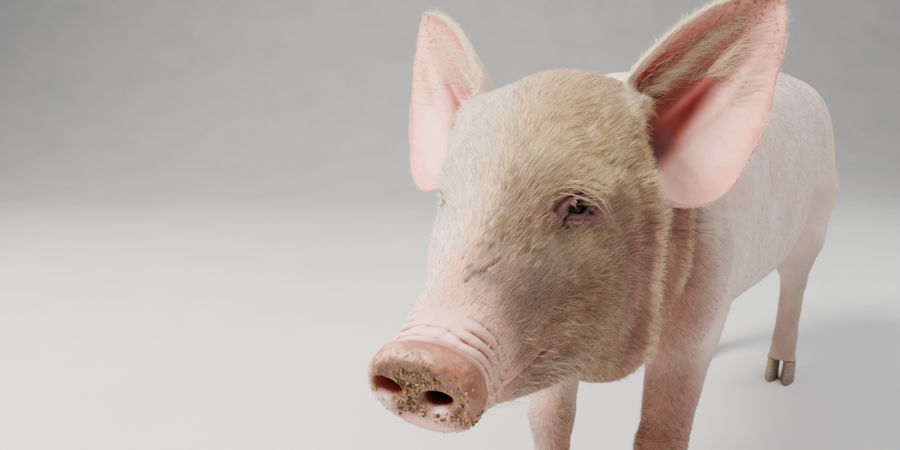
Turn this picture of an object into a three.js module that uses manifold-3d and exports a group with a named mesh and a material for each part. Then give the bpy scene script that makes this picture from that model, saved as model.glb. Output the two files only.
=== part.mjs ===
// A life-size standing young pig of the large white, prick-eared type, as a still museum model.
// Millimetres. +Z is up, the pig faces -Y and its left side is +X. Its feet stand on z = 0.
// The body is one smooth solid of flesh, given by a distance function: a lofted trunk, neck, skull and jaw
// with muscles and leg bones melted into them. The function is meshed part by part, and thin plane cuts
// divide the parts, so that each meets its neighbour face to face.
import * as THREE from 'three';
import { mergeVertices } from 'three/addons/utils/BufferGeometryUtils.js';
import Module from 'manifold-3d';

// ---------------------------------------------------------------- driving dimensions
const GAP = 0.3;                        // left between parts that touch
const MODEL_SHIFT = { x: 40, y: 74 };   // puts the model's box over its origin

// The trunk, by stations from chest to rump.
const TRUNK = {
  at:     [-400, -340, -260, -150,    0,  150,  270,  370,  450,  500,  522],
  top:    [ 540,  583,  606,  620,  634,  643,  638,  622,  596,  566,  540],
  bottom: [ 376,  324,  296,  280,  268,  264,  278,  314,  366,  412,  446],
  half:   [  74,  100,  120,  134,  144,  145,  131,  118,  100,   74,   44],
  cap: 30,        // how far the rounded ends reach past the first and last station
  power: 2.35,    // above 2 makes a section fuller than an ellipse
};

// The head has its own frame, from the middle of the snout's face: l to its left, s back, u up.
const HEAD = { at: [47, -718, 398], yaw: 13.2, pitch: 18.6 };   // pitch is nose down
const SKULL = {
  at:     [   4,   20,   45,   80,  120,  160,  200,  240,  280,  315],
  top:    [  27,   28,   32,   38,   47,   66,   84,   93,   94,   85],
  bottom: [ -26,  -27,  -35,  -46,  -62,  -84, -104, -116, -118, -100],
  half:   [  34,   34,   36,   41,   51,   66,   79,   88,   92,   84],
  widest: [   0,    0,   -3,   -8,  -14,  -18,  -22,  -28,  -34,  -30],
  cap: 22,
  power: 2.2,
};
const JAW = {
  at:     [  36,   55,   80,  110,  140,  170,  200,  240],
  top:    [ -30,  -33,  -37,  -40,  -40,  -40,  -40,  -40],
  bottom: [ -50,  -63,  -81, -101, -120, -138, -153, -160],
  half:   [  20,   28,   37,   48,   58,   66,   73,   78],
  cap: 12,
  power: 2.2,
};
const CHEEK = { at: [50, 205, -46], size: [38, 66, 52], tilt: 0 };
const JOWL = { at: [60, 242, -112], size: [50, 64, 62], tilt: 0 };
const BROW = { at: [38, 190, 54], size: [22, 32, 16], tilt: 0 };
const EAR_ROOT = { at: [64, 286, 50], size: [32, 36, 38], tilt: 0 };
const MOUTH = { front: 18, corner: 124, uFront: -31, uCorner: -44, line: 2.4, deep: 5, lip: 7 };
const NECK = { from: [0, -300, 468], to: [0, -455, 478], half: 96, high: 122, melt: 60 };

const EYE = {
  at: [45, 176, 38.5],
  radius: 12.5,
  lid: 3.2,
  out: [0.9, -0.36, 0.24],
  wide: 11.5,
  high: 6.4,
  slant: -24,        // the rear corner is lower
  hollow: 11,
};
// The snout's disc sits a little askew. Places on it are measured in the disc's own plane.
const SNOUT = { half: 38, high: 30.2, deep: 16, left: -1.5, up: -3, roll: 5.5 };
const NOSTRIL = { left: -7, up: -0.5, apart: 17, deep: 13, wide: 10, high: 6.2, tilt: 14 };

// The ear's plane: a runs from root to tip, b across it from front to rear edge, c out of its cup.
const EAR = {
  root: [72, 284, 74],
  along: [0.475, 0.784, 0.398],
  facing: [0.6, -0.619, 0.5],
  a:     [ -30,   -8,   20,   50,   80,  110,  140,  170,  198,  216,  227],
  front: [   4,  -10,  -19,  -22,  -22,  -20,  -14,   -4,    9,   20,   28],
  rear:  [  70,  100,  116,  117,  111,  100,   86,   70,   52,   40,   32],
  deep:  [  40,   42,   41,   40,   36,   29,   21,   14,    8,    4,    1],
  floor: -0.42,      // where the cup is deepest, from -1 at the front edge to 1 at the rear
  across: 10,        // faces across the cup
  thickRoot: 9,
  thickTip: 3.4,
};

const TORSO_MELT = 46;      // how softly the muscles run into the trunk
const LEG_MELT = 22;
// Each muscle: centre, half sizes, tilt about X in degrees. Those beside the midline are mirrored.
const SHOULDER = { at: [70, -282, 440], size: [62, 98, 150], tilt: -14 };
const HAM = { at: [76, 402, 446], size: [70, 122, 160], tilt: 10 };
const BRISKET = { at: [0, -346, 388], size: [72, 66, 78], tilt: 0 };
const LOIN = { at: [0, 330, 545], size: [118, 150, 88], tilt: 0 };

// A leg is a chain of bones: joint places, radius fore and aft, and how narrow it is from side to side.
const FORELEG = {
  joints: [[70, -318, 412], [76, -284, 322], [70, -318, 176], [68, -322, 84], [68, -340, 40]],
  radius: [64, 50, 30, 24.5, 27],
  narrow: [0.84, 0.76, 0.86, 0.9, 1.0],
};
const HINDLEG = {
  joints: [[88, 372, 400], [98, 352, 334], [93, 458, 214], [91, 438, 88], [91, 418, 42]],
  radius: [96, 72, 33, 25.5, 27],
  narrow: [0.76, 0.72, 0.74, 0.86, 1.0],
};
const HEEL_BONE = { from: [93, 480, 228], to: [93, 464, 168], radius: 18 };
const KNEE = { from: [70, -328, 180], to: [70, -326, 160], radius: 29 };
const CORONET = { high: 40, slope: 16 };     // where skin ends and hoof begins, higher in front
const HOOF = { toe: 40, heel: 22, half: 12.5, spread: 15, lean: 12 };
const DEWCLAW = { spread: 16, back: 16, up: 74, radius: 8.5, long: 24, lean: 32 };
const TAIL = {
  path: [[0, 490, 548], [0, 528, 560], [3, 556, 548], [9, 566, 512], [14, 562, 472], [8, 566, 440],
    [-8, 580, 430]],
  root: 15,
  tip: 5,
};

// ---------------------------------------------------------------- small helpers
const radians = (degrees) => degrees * Math.PI / 180;
const clamp = (x, low, high) => Math.min(high, Math.max(low, x));
const mix = (a, b, t) => a + (b - a) * t;
const smoothstep = (low, high, x) => {
  const t = clamp((x - low) / (high - low), 0, 1);
  return t * t * (3 - 2 * t);
};

// A smooth curve through stations: cubic pieces whose slopes are those of the neighbours on each side.
function station(xs, ys, x) {
  const last = xs.length - 1;
  if (x <= xs[0]) return ys[0];
  if (x >= xs[last]) return ys[last];
  let i = 0;
  while (x > xs[i + 1]) i++;
  const slope = (k) => {
    const [before, after] = [Math.max(k - 1, 0), Math.min(k + 1, last)];
    return (ys[after] - ys[before]) / (xs[after] - xs[before]);
  };
  const width = xs[i + 1] - xs[i];
  const t = (x - xs[i]) / width;
  const [m0, m1] = [slope(i) * width, slope(i + 1) * width];
  return (2 * t ** 3 - 3 * t ** 2 + 1) * ys[i] + (t ** 3 - 2 * t ** 2 + t) * m0
    + (3 * t ** 2 - 2 * t ** 3) * ys[i + 1] + (t ** 3 - t ** 2) * m1;
}

// Joins two distances so that their surfaces melt into each other over k.
function melt(a, b, k) {
  const h = Math.max(k - Math.abs(a - b), 0) / k;
  return Math.min(a, b) - h * h * k / 4;
}

// Distance to an ellipsoid tilted about X, close to true near its surface.
function muscle(x, y, z, { at, size, tilt }) {
  const [c, s] = [Math.cos(radians(tilt)), Math.sin(radians(tilt))];
  const [dx, dy, dz] = [x - at[0], y - at[1], z - at[2]];
  const [px, py, pz] = [dx / size[0], (c * dy + s * dz) / size[1], (c * dz - s * dy) / size[2]];
  const k0 = Math.hypot(px, py, pz);
  const k1 = Math.hypot(px / size[0], py / size[1], pz / size[2]);
  return k0 * (k0 - 1) / Math.max(k1, 1e-9);
}

// Distance to a bone with round ends of two radii, squeezed from side to side.
function bone(x, y, z, a, b, ra, rb, na, nb) {
  const [ux, uy, uz] = [b[0] - a[0], b[1] - a[1], b[2] - a[2]];
  const along = (x - a[0]) * ux + (y - a[1]) * uy + (z - a[2]) * uz;
  const t = clamp(along / (ux * ux + uy * uy + uz * uz), 0, 1);
  const narrow = mix(na, nb, t);
  return Math.hypot((x - a[0] - t * ux) / narrow, y - a[1] - t * uy, z - a[2] - t * uz) - mix(ra, rb, t);
}

// Distance to a loft of superellipse sections. along is the place on its axis, across and up the section's.
function loft(along, across, up, table) {
  const xs = table.at;
  const at = clamp(along, xs[0], xs[xs.length - 1]);
  const [top, bottom, half] = [table.top, table.bottom, table.half].map((ys) => station(xs, ys, at));
  const middle = table.widest ? station(xs, table.widest, at) : (top + bottom) / 2;
  const v = up - middle;
  const n = table.power;
  const rho = (Math.abs(v / (v > 0 ? top - middle : middle - bottom)) ** n + Math.abs(across / half) ** n
    + Math.abs((along - at) / table.cap) ** n) ** (1 / n);
  const reach = Math.hypot(v, across, along - at);
  return rho < 1e-6 ? -Math.min(half, (top - bottom) / 2) : reach * (1 - 1 / rho);
}

// ---------------------------------------------------------------- the head's own frame
const [cy, sy] = [Math.cos(radians(HEAD.yaw)), Math.sin(radians(HEAD.yaw))];
const [cp, sp] = [Math.cos(radians(HEAD.pitch)), Math.sin(radians(HEAD.pitch))];
const BACK = [-sy * cp, cy * cp, sp];
const LEFT = [cy, sy, 0];
const UP = [sy * sp, -cy * sp, cp];
const dot = (a, b) => a[0] * b[0] + a[1] * b[1] + a[2] * b[2];
const toHead = (x, y, z) => {
  const d = [x - HEAD.at[0], y - HEAD.at[1], z - HEAD.at[2]];
  return [dot(d, LEFT), dot(d, BACK), dot(d, UP)];
};
const fromHead = (l, s, u) => [0, 1, 2].map((i) => HEAD.at[i] + l * LEFT[i] + s * BACK[i] + u * UP[i]);
const headMatrix = new THREE.Matrix4().makeBasis(...[LEFT, BACK, UP].map((a) => new THREE.Vector3(...a)))
  .setPosition(...HEAD.at);

// ---------------------------------------------------------------- the flesh
const mouthHeight = (s) => mix(MOUTH.uFront, MOUTH.uCorner, (s - MOUTH.front) / (MOUTH.corner - MOUTH.front));

function lips(side, s, u) {
  const lip = (l0, s0, l1, s1, above, radius) => bone(side, s, u, [l0, s0, mouthHeight(s0) + above],
    [l1, s1, mouthHeight(s1) + above], radius, radius, 1, 1);
  return Math.min(lip(23, 34, 47, MOUTH.corner - 4, MOUTH.lip, MOUTH.lip + 1),
    lip(17, 38, 44, MOUTH.corner - 8, -MOUTH.lip, MOUTH.lip));
}

function headFlesh(x, y, z) {
  const [l, s, u] = toHead(x, y, z);
  const side = Math.abs(l);
  let d = melt(loft(s, l, u, SKULL), loft(s, l, u, JAW), mix(6, 34, smoothstep(95, 170, s)));
  if (s < MOUTH.corner + 30) d = melt(d, lips(side, s, u), 7);
  d = melt(d, muscle(side, s, u, CHEEK), 28);
  d = melt(d, muscle(side, s, u, JOWL), 28);
  d = melt(d, muscle(side, s, u, BROW), 20);
  d = melt(d, muscle(side, s, u, EAR_ROOT), 24);
  const hollow = Math.hypot(side - EYE.at[0] - 22, (s - EYE.at[1] + 8) * 0.7, u - EYE.at[2] + 2) - EYE.hollow;
  return -melt(-d, hollow, 16);
}

function legChain(x, y, z, { joints, radius, narrow }) {
  let d = Infinity;
  for (let i = 0; i + 1 < joints.length; i++) {
    const part = bone(x, y, z, joints[i], joints[i + 1], radius[i], radius[i + 1], narrow[i], narrow[i + 1]);
    d = i === 0 ? part : melt(d, part, 14);
  }
  return d;
}

function trunkFlesh(x, y, z) {
  const side = Math.abs(x);
  let d = loft(y, x, z, TRUNK);
  for (const part of [SHOULDER, HAM, BRISKET, LOIN]) d = melt(d, muscle(side, y, z, part), TORSO_MELT);
  return d;
}

function legFlesh(x, y, z) {
  const side = Math.abs(x);
  const [leg, joint] = y < 60 ? [FORELEG, KNEE] : [HINDLEG, HEEL_BONE];
  return melt(legChain(side, y, z, leg),
    bone(side, y, z, joint.from, joint.to, joint.radius, joint.radius - 4, 0.82, 0.82), 16);
}

function neckFlesh(x, y, z) {
  const { from, to, half, high } = NECK;
  const t = clamp(((y - from[1]) / (to[1] - from[1])), 0, 1);
  const [dx, dy, dz] = [x - mix(from[0], to[0], t), y - mix(from[1], to[1], t), z - mix(from[2], to[2], t)];
  const rho = Math.hypot(dx / half, dy / 90, dz / high);
  return rho < 1e-6 ? -half : Math.hypot(dx, dy, dz) * (1 - 1 / rho);
}

function flesh(x, y, z) {
  let d = melt(trunkFlesh(x, y, z), legFlesh(x, y, z), LEG_MELT);
  if (y < -180) d = melt(melt(d, neckFlesh(x, y, z), NECK.melt), headFlesh(x, y, z), NECK.melt * 0.6);
  return d;
}

// ---------------------------------------------------------------- meshing
const wasm = await Module();
wasm.setup();

function solid(geometry, matrix) {
  const bare = new THREE.BufferGeometry().setAttribute('position', geometry.getAttribute('position').clone());
  if (geometry.index) bare.setIndex(geometry.index.clone());
  if (matrix) bare.applyMatrix4(matrix);
  const merged = mergeVertices(bare, 1e-4);
  return new wasm.Manifold(new wasm.Mesh({
    numProp: 3,
    vertProperties: new Float32Array(merged.attributes.position.array),
    triVerts: new Uint32Array(merged.index.array),
  }));
}

// Grid lines whose spacing runs smoothly through [place, spacing] pairs.
function lines(pairs) {
  const [places, cells] = [pairs.map((pair) => pair[0]), pairs.map((pair) => pair[1])];
  const found = [places[0]];
  while (found[found.length - 1] < places[places.length - 1]) {
    const last = found[found.length - 1];
    let i = 0;
    while (i + 2 < places.length && last >= places[i + 1]) i++;
    const share = clamp((last - places[i]) / (places[i + 1] - places[i]), 0, 1);
    found.push(last + mix(cells[i], cells[i + 1], share));
  }
  return found;
}

const mirrored = (half) => [...half.slice(1).map((v) => -v).reverse(), ...half];

const CORNERS = [0, 1, 2, 3, 4, 5, 6, 7].map((n) => [n & 1, (n >> 1) & 1, n >> 2]);
const EDGES = [];
for (let a = 0; a < 8; a++) for (const bit of [1, 2, 4]) if (!(a & bit)) EDGES.push([a, a | bit]);

// The mean of the places where the surface crosses a cell's edges, as fractions of the cell.
function crossing(values) {
  const sum = [0, 0, 0];
  let count = 0;
  for (const [a, b] of EDGES) {
    if ((values[a] < 0) === (values[b] < 0)) continue;
    const t = values[a] / (values[a] - values[b]);
    for (let n = 0; n < 3; n++) sum[n] += mix(CORNERS[a][n], CORNERS[b][n], t);
    count++;
  }
  return count ? sum.map((v) => v / count) : null;
}

// The surface where field is 0, as quads with one corner in each grid cell that it passes. Each corner is
// then moved onto the true surface. The grid's outermost layer counts as outside.
function surface(field, grid) {
  const [nx, ny, nz] = grid.map((axis) => axis.length);
  const id = (i, j, k) => i + nx * (j + ny * k);
  const values = new Float64Array(nx * ny * nz);
  for (let k = 0; k < nz; k++) for (let j = 0; j < ny; j++) for (let i = 0; i < nx; i++) {
    const edge = i === 0 || j === 0 || k === 0 || i === nx - 1 || j === ny - 1 || k === nz - 1;
    const d = field(grid[0][i], grid[1][j], grid[2][k]);
    values[id(i, j, k)] = edge ? Math.max(d, 2) : d;
  }
  const points = [];
  const cellPoint = new Int32Array(nx * ny * nz).fill(-1);
  for (let k = 0; k + 1 < nz; k++) for (let j = 0; j + 1 < ny; j++) for (let i = 0; i + 1 < nx; i++) {
    const found = crossing(CORNERS.map(([a, b, c]) => values[id(i + a, j + b, k + c)]));
    if (!found) continue;
    cellPoint[id(i, j, k)] = points.length;
    const place = [i, j, k].map((n, axis) => mix(grid[axis][n], grid[axis][n + 1], found[axis]));
    const outer = i === 0 || j === 0 || k === 0 || i === nx - 2 || j === ny - 2 || k === nz - 2;
    const cell = Math.min(...[i, j, k].map((n, axis) => grid[axis][n + 1] - grid[axis][n]));
    points.push(outer ? place : settle(field, place, cell / 2.5));
  }
  const apart = (a, b) => Math.hypot(...points[a].map((c, n) => c - points[b][n]));
  const triangles = [];
  const strides = [1, nx, nx * ny];
  for (let k = 0; k + 1 < nz; k++) for (let j = 0; j + 1 < ny; j++) for (let i = 0; i + 1 < nx; i++) {
    for (let axis = 0; axis < 3; axis++) {
      if ([i, j, k].some((n, other) => n === 0 && other !== axis)) continue;
      const here = id(i, j, k);
      const [inside, beyond] = [values[here] < 0, values[here + strides[axis]] < 0];
      if (inside === beyond) continue;
      const [u, v] = [strides[(axis + 1) % 3], strides[(axis + 2) % 3]];
      const quad = [here - u - v, here - v, here, here - u].map((n) => cellPoint[n]);
      if (!inside) quad.reverse();
      const [a, b, c, d] = quad;
      if (apart(a, c) <= apart(b, d)) triangles.push(a, b, c, a, c, d);
      else triangles.push(b, c, d, b, d, a);
    }
  }
  return geometryOf(points, triangles);
}

// Moves a point along the field's slope until it lies on the surface.
function settle(field, place, limit) {
  const p = [...place];
  const h = 0.5;
  for (let turn = 0; turn < 4; turn++) {
    const d = field(...p);
    const g = [0, 1, 2].map((n) => {
      const q = [...p];
      q[n] += h;
      return (field(...q) - d) / h;
    });
    const step = clamp(d / Math.max(dot(g, g), 0.05), -limit, limit);
    for (let n = 0; n < 3; n++) p[n] -= step * g[n];
  }
  return p;
}

function geometryOf(points, triangles) {
  return new THREE.BufferGeometry()
    .setAttribute('position', new THREE.Float32BufferAttribute(points.flat(), 3)).setIndex(triangles);
}

function boxBetween(low, high, matrix) {
  const size = high.map((v, i) => v - low[i]);
  return solid(new THREE.BoxGeometry(...size).translate(...low.map((v, i) => v + size[i] / 2)), matrix);
}

// Everything behind a plane, where its normal points forward.
function behind(point, normal, slack) {
  const n = new THREE.Vector3(...normal).normalize();
  const turn = new THREE.Quaternion().setFromUnitVectors(new THREE.Vector3(0, 0, 1), n);
  const place = new THREE.Vector3(...point).addScaledVector(n, slack);
  return boxBetween([-900, -900, -900], [900, 900, 0],
    new THREE.Matrix4().compose(place, turn, new THREE.Vector3(1, 1, 1)));
}

// Closed rings of equal count, joined in order, with a cap at each end.
function ringSolid(rings, matrix) {
  const count = rings[0].length;
  const points = rings.flat();
  const triangles = [];
  for (let k = 0; k < (rings.length - 1) * count; k++) {
    const [r, i] = [Math.floor(k / count), k % count];
    const [a, b] = [r * count + i, r * count + (i + 1) % count];
    triangles.push(a, b, b + count, a, b + count, a + count);
  }
  for (const [r, flip] of [[0, true], [rings.length - 1, false]]) {
    const centre = points.length;
    points.push([0, 1, 2].map((n) => rings[r].reduce((sum, p) => sum + p[n], 0) / count));
    for (let i = 0; i < count; i++) {
      const [a, b] = [r * count + i, r * count + (i + 1) % count];
      triangles.push(...(flip ? [centre, b, a] : [centre, a, b]));
    }
  }
  const made = solid(geometryOf(points, triangles), matrix);
  return made.volume() > 0 ? made : solid(geometryOf(points, triangles.reverse()), matrix);
}

const largest = (made) => made.decompose().sort((a, b) => b.volume() - a.volume())[0];

// ---------------------------------------------------------------- the parts
const SKIN = { color: 0xe3b9a6, roughness: 0.7 };
const PALE_SKIN = { color: 0xe8c4b4, roughness: 0.7 };
const SNOUT_SKIN = { color: 0xc98f7c, roughness: 0.45 };
const EAR_SKIN = { color: 0xe0a597, roughness: 0.6 };
const EYE_DARK = { color: 0x2a1d18, roughness: 0.08 };
const HORN = { color: 0x8d7a66, roughness: 0.5 };
const pieces = [];
const keep = (name, made, look, matrix) => pieces.push({ name, made: largest(made), look, matrix });

const trunkGrid = [
  mirrored(lines([[0, 30], [175, 28]])),
  lines([[-540, 26], [-300, 30], [-120, 40], [200, 40], [300, 30], [600, 28]]),
  lines([[230, 30], [680, 32]]),
];
const forelegGrid = [
  lines([[0, 19], [180, 19]]),
  lines([[-440, 20], [-180, 20]]),
  lines([[20, 22], [330, 22]]),
];
const hindlegGrid = [
  lines([[0, 19], [190, 21]]),
  lines([[230, 24], [560, 20]]),
  lines([[20, 22], [430, 24]]),
];
const headGrid = [
  mirrored(lines([[0, 10], [60, 12], [150, 18]])),
  lines([[-30, 10], [100, 12], [200, 16], [390, 20]]),
  lines([[-200, 18], [-90, 12], [60, 12], [160, 17]]),
];
const headField = (l, s, u) => flesh(...fromHead(l, s, u));

const clearOfBody = solid(surface((x, y, z) => flesh(x, y, z) - GAP, trunkGrid));
const clearOfHead = solid(surface((l, s, u) => headField(l, s, u) - GAP, headGrid), headMatrix);

const CHEST_CUT = { point: [0, -384, 460], normal: [0, 1, -0.3] };
const POLL_CUT = { s: 318, lean: -0.18 };
const FORELEG_BOX = { low: [6, -430, -20], high: [220, -190, 300] };
const HINDLEG_BOX = { point: [0, 300, 284], tilt: 23 };

// ---- trunk, neck and legs: the same flesh, meshed finer in the legs and divided by planes
function legBoxes(grow) {
  const tilted = new THREE.Matrix4().makeRotationX(radians(HINDLEG_BOX.tilt))
    .setPosition(...HINDLEG_BOX.point);
  const grown = (low, high, matrix) => (
    boxBetween(low.map((v) => v - grow), high.map((v) => v + grow), matrix));
  const flip = (low, high) => [[-high[0], low[1], low[2]], [-low[0], high[1], high[2]]];
  const { low, high } = FORELEG_BOX;
  const hind = [[8, 0, -500], [240, 330, 0]];
  return {
    foreleg_left: grown(low, high),
    foreleg_right: grown(...flip(low, high)),
    hindleg_left: grown(...hind, tilted),
    hindleg_right: grown(...flip(...hind), tilted),
  };
}

const coronetPlane = (foot, slack) => behind([0, foot[1], CORONET.high],
  [0, Math.sin(radians(CORONET.slope)), Math.cos(radians(CORONET.slope))], slack);

function buildBody() {
  const pollNormal = [0, 1, 2].map((i) => BACK[i] + POLL_CUT.lean * UP[i]);
  let trunk = solid(surface(flesh, trunkGrid)).subtract(behind(fromHead(0, POLL_CUT.s, 0), pollNormal, GAP));
  for (const box of Object.values(legBoxes(GAP))) trunk = trunk.subtract(box);
  keep('neck', trunk.intersect(behind(CHEST_CUT.point, CHEST_CUT.normal, -GAP)), SKIN);
  keep('torso', trunk.subtract(behind(CHEST_CUT.point, CHEST_CUT.normal, 0)), PALE_SKIN);
  for (const [name, box] of Object.entries(legBoxes(0))) {
    const shape = name.startsWith('fore') ? FORELEG : HINDLEG;
    const side = name.endsWith('left') ? 1 : -1;
    const foot = shape.joints[shape.joints.length - 1];
    const claws = dewclaws(foot, side);
    const [xs, ys, zs] = shape === FORELEG ? forelegGrid : hindlegGrid;
    const grid = [side > 0 ? xs : xs.map((x) => -x).reverse(), ys, zs];
    let leg = solid(surface(flesh, grid)).intersect(box).subtract(coronetPlane(foot, 0));
    for (const claw of claws) leg = leg.subtract(claw.socket);
    keep(name, leg, SKIN);
    const corner = name.replace('leg', '');
    for (const claw of claws) keep(corner + '_dewclaw_' + claw.word, claw.made, HORN);
    for (const hoof of hooves(foot, side)) keep(corner + '_hoof_' + hoof.word, hoof.made, HORN);
  }
}

// ---- feet: two hooves with flat soles, and two dewclaws behind
function hooves(foot, side) {
  return [['inner', -1], ['outer', 1]].map(([word, away]) => {
    const rings = [0, 2, 62].map((z) => {
      const grow = z === 0 ? 0.94 : 1 - z * 0.0016;
      const back = z * Math.tan(radians(HOOF.lean + 16));
      return Array.from({ length: 14 }, (_, i) => {
        const turn = i / 14 * Math.PI * 2;
        const along = -Math.cos(turn);
        const long = (along < 0 ? HOOF.toe : HOOF.heel) * grow;
        const wide = HOOF.half * grow * Math.sin(turn) * (along < 0 ? 1 - 0.28 * along * along : 1);
        return [side * (foot[0] + away * HOOF.spread) + wide, foot[1] - 2 + along * long + back * 0.5, z];
      });
    });
    return { word, made: ringSolid(rings).intersect(coronetPlane(foot, -GAP)) };
  });
}

function dewclaws(foot, side) {
  return [['inner', -1], ['outer', 1]].map(([word, away]) => {
    const shape = (grow) => {
      const outline = [[0, 0], [0.9, 0.06], [0.95, 0.5], [0.55, 0.88], [0, 1]].map(([r, h]) => {
        const radius = r ? r * DEWCLAW.radius + grow : 0;
        return new THREE.Vector2(radius, h * DEWCLAW.long + grow * (h > 0.3 ? 1 : -1));
      });
      const place = new THREE.Matrix4()
        .makeTranslation(side * (foot[0] + away * DEWCLAW.spread), foot[1] + DEWCLAW.back, DEWCLAW.up)
        .multiply(new THREE.Matrix4().makeRotationX(radians(-180 + DEWCLAW.lean)))
        .multiply(new THREE.Matrix4().makeRotationX(Math.PI / 2));
      return solid(new THREE.LatheGeometry(outline, 9), place);
    };
    return { word, made: shape(0), socket: shape(GAP) };
  });
}

// ---- tail: a tapering tube along a curve, meeting the rump
function buildTail() {
  const curve = new THREE.CatmullRomCurve3(TAIL.path.map((p) => new THREE.Vector3(...p)));
  const steps = 18;
  const frames = curve.computeFrenetFrames(steps, false);
  const rings = Array.from({ length: steps + 1 }, (_, i) => {
    const centre = curve.getPointAt(i / steps);
    const radius = mix(TAIL.root, TAIL.tip, smoothstep(0, 1, i / steps)) * (i === steps ? 0.5 : 1);
    return Array.from({ length: 10 }, (__, j) => {
      const turn = j / 10 * Math.PI * 2;
      return centre.clone().addScaledVector(frames.normals[i], Math.cos(turn) * radius)
        .addScaledVector(frames.binormals[i], Math.sin(turn) * radius).toArray();
    });
  });
  keep('tail', ringSolid(rings).subtract(clearOfBody), PALE_SKIN);
}

// ---- head, all in its own frame
function buildHead() {
  const boxSlope = Math.atan2(MOUTH.uCorner - MOUTH.uFront, MOUTH.corner - MOUTH.front);
  const jawFrame = new THREE.Matrix4().makeTranslation(0, MOUTH.front, MOUTH.uFront)
    .multiply(new THREE.Matrix4().makeRotationX(boxSlope));
  const long = MOUTH.corner - MOUTH.front;
  const jawBox = (grow) => boxBetween([-150, -60, -150], [150, long + grow, grow], jawFrame);
  const line = boxBetween([-150, -60, -MOUTH.line / 2], [150, long - 1, MOUTH.line / 2], jawFrame)
    .subtract(mouthInside());

  const whole = solid(surface(headField, headGrid)).subtract(behind([0, SNOUT.deep + GAP, 0], [0, 1, 0], 0));
  let head = whole.intersect(behind([0, POLL_CUT.s, 0], [0, 1, POLL_CUT.lean], 0));
  for (const side of [1, -1]) {
    const [at, out] = [EYE.at, EYE.out].map(([l, s, u]) => [l * side, s, u]);
    const ball = (radius, across, down) => solid(new THREE.SphereGeometry(radius, across, down)
      .rotateX(Math.PI / 2).translate(...at));
    head = head.add(ball(EYE.radius + EYE.lid, 22, 14)).subtract(ball(EYE.radius + GAP, 16, 10))
      .subtract(lidOpening(new THREE.Vector3(...at), new THREE.Vector3(...out).normalize()));
    keep(side > 0 ? 'eye_left' : 'eye_right', ball(EYE.radius, 16, 10), EYE_DARK, headMatrix);
  }
  keep('head', head.subtract(jawBox(GAP)).subtract(line), SKIN, headMatrix);
  keep('lower_jaw', whole.intersect(jawBox(0)).subtract(line), SKIN, headMatrix);
  for (const side of [1, -1]) {
    const ear = earShell(side).subtract(clearOfHead).subtract(whole.transform(headMatrix.elements))
      .subtract(clearOfBody);
    keep(side > 0 ? 'ear_left' : 'ear_right', ear, EAR_SKIN);
  }
}

// How far the lips' face stands from the midline at s, found by halving.
function lipFace(s) {
  let [inside, outside] = [0, 120];
  for (let turn = 0; turn < 20; turn++) {
    const l = (inside + outside) / 2;
    if (headField(l, s, mouthHeight(s)) < 0) inside = l;
    else outside = l;
  }
  return inside;
}

// What stays closed inside the mouth, so that its line is only MOUTH.deep deep.
function mouthInside() {
  const places = [28, 44, 60, 76, 92, 108, MOUTH.corner - MOUTH.deep];
  return ringSolid(places.map((s) => {
    const [l, u] = [Math.max(lipFace(s) - MOUTH.deep, 4), mouthHeight(s)];
    return [[l, s, u + 20], [-l, s, u + 20], [-l, s, u - 20], [l, s, u - 20]];
  }));
}

// The almond between the lids, as a lens-shaped prism that runs out of the ball.
function lidOpening(at, out) {
  const slant = radians(EYE.slant);
  const across = new THREE.Vector3(0, Math.cos(slant), Math.sin(slant));
  across.addScaledVector(out, -across.dot(out)).normalize();
  const above = new THREE.Vector3().crossVectors(out, across);
  if (above.z < 0) above.negate();
  const rings = [2, EYE.radius * 2.2].map((c) => Array.from({ length: 16 }, (_, i) => {
    const turn = i / 16 * Math.PI * 2;
    const high = Math.sin(turn) * EYE.high * (1 - 0.35 * Math.cos(turn) ** 2);
    return at.clone().addScaledVector(out, c).addScaledVector(across, Math.cos(turn) * EYE.wide)
      .addScaledVector(above, high).toArray();
  }));
  return ringSolid(rings);
}

// One ear: a thin curved shell, hollow towards the front and side, with a rolled front edge.
function earShell(side) {
  const vector = ([l, s, u]) => new THREE.Vector3(l * side, s, u).normalize();
  const along = vector(EAR.along);
  const facing = vector(EAR.facing);
  facing.addScaledVector(along, -facing.dot(along)).normalize();
  const across = new THREE.Vector3().crossVectors(along, facing).multiplyScalar(side);
  const root = new THREE.Vector3(EAR.root[0] * side, EAR.root[1], EAR.root[2]);
  const rings = EAR.a.map((a, i) => {
    const thick = mix(EAR.thickRoot, EAR.thickTip, i / (EAR.a.length - 1));
    const point = (v, back) => {
      const b = mix(EAR.front[i], EAR.rear[i], (v + 1) / 2);
      const wall = v < EAR.floor ? (EAR.floor - v) / (1 + EAR.floor) : (v - EAR.floor) / (1 - EAR.floor);
      const cup = 1 - wall ** (v < EAR.floor ? 2.4 : 1.7);
      const edge = Math.sqrt(Math.max(1 - v ** 6, 0));
      const c = -EAR.deep[i] * cup - (back ? thick * (0.25 + 0.75 * edge) : 0);
      return root.clone().addScaledVector(along, a).addScaledVector(across, b)
        .addScaledVector(facing, c).toArray();
    };
    const count = EAR.across;
    const places = Array.from({ length: count + 1 }, (_, n) => Math.sin((n / count - 0.5) * Math.PI));
    return [...places.map((v) => point(v, false)), ...places.reverse().map((v) => point(v, true))];
  });
  return ringSolid(rings, headMatrix);
}

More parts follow.
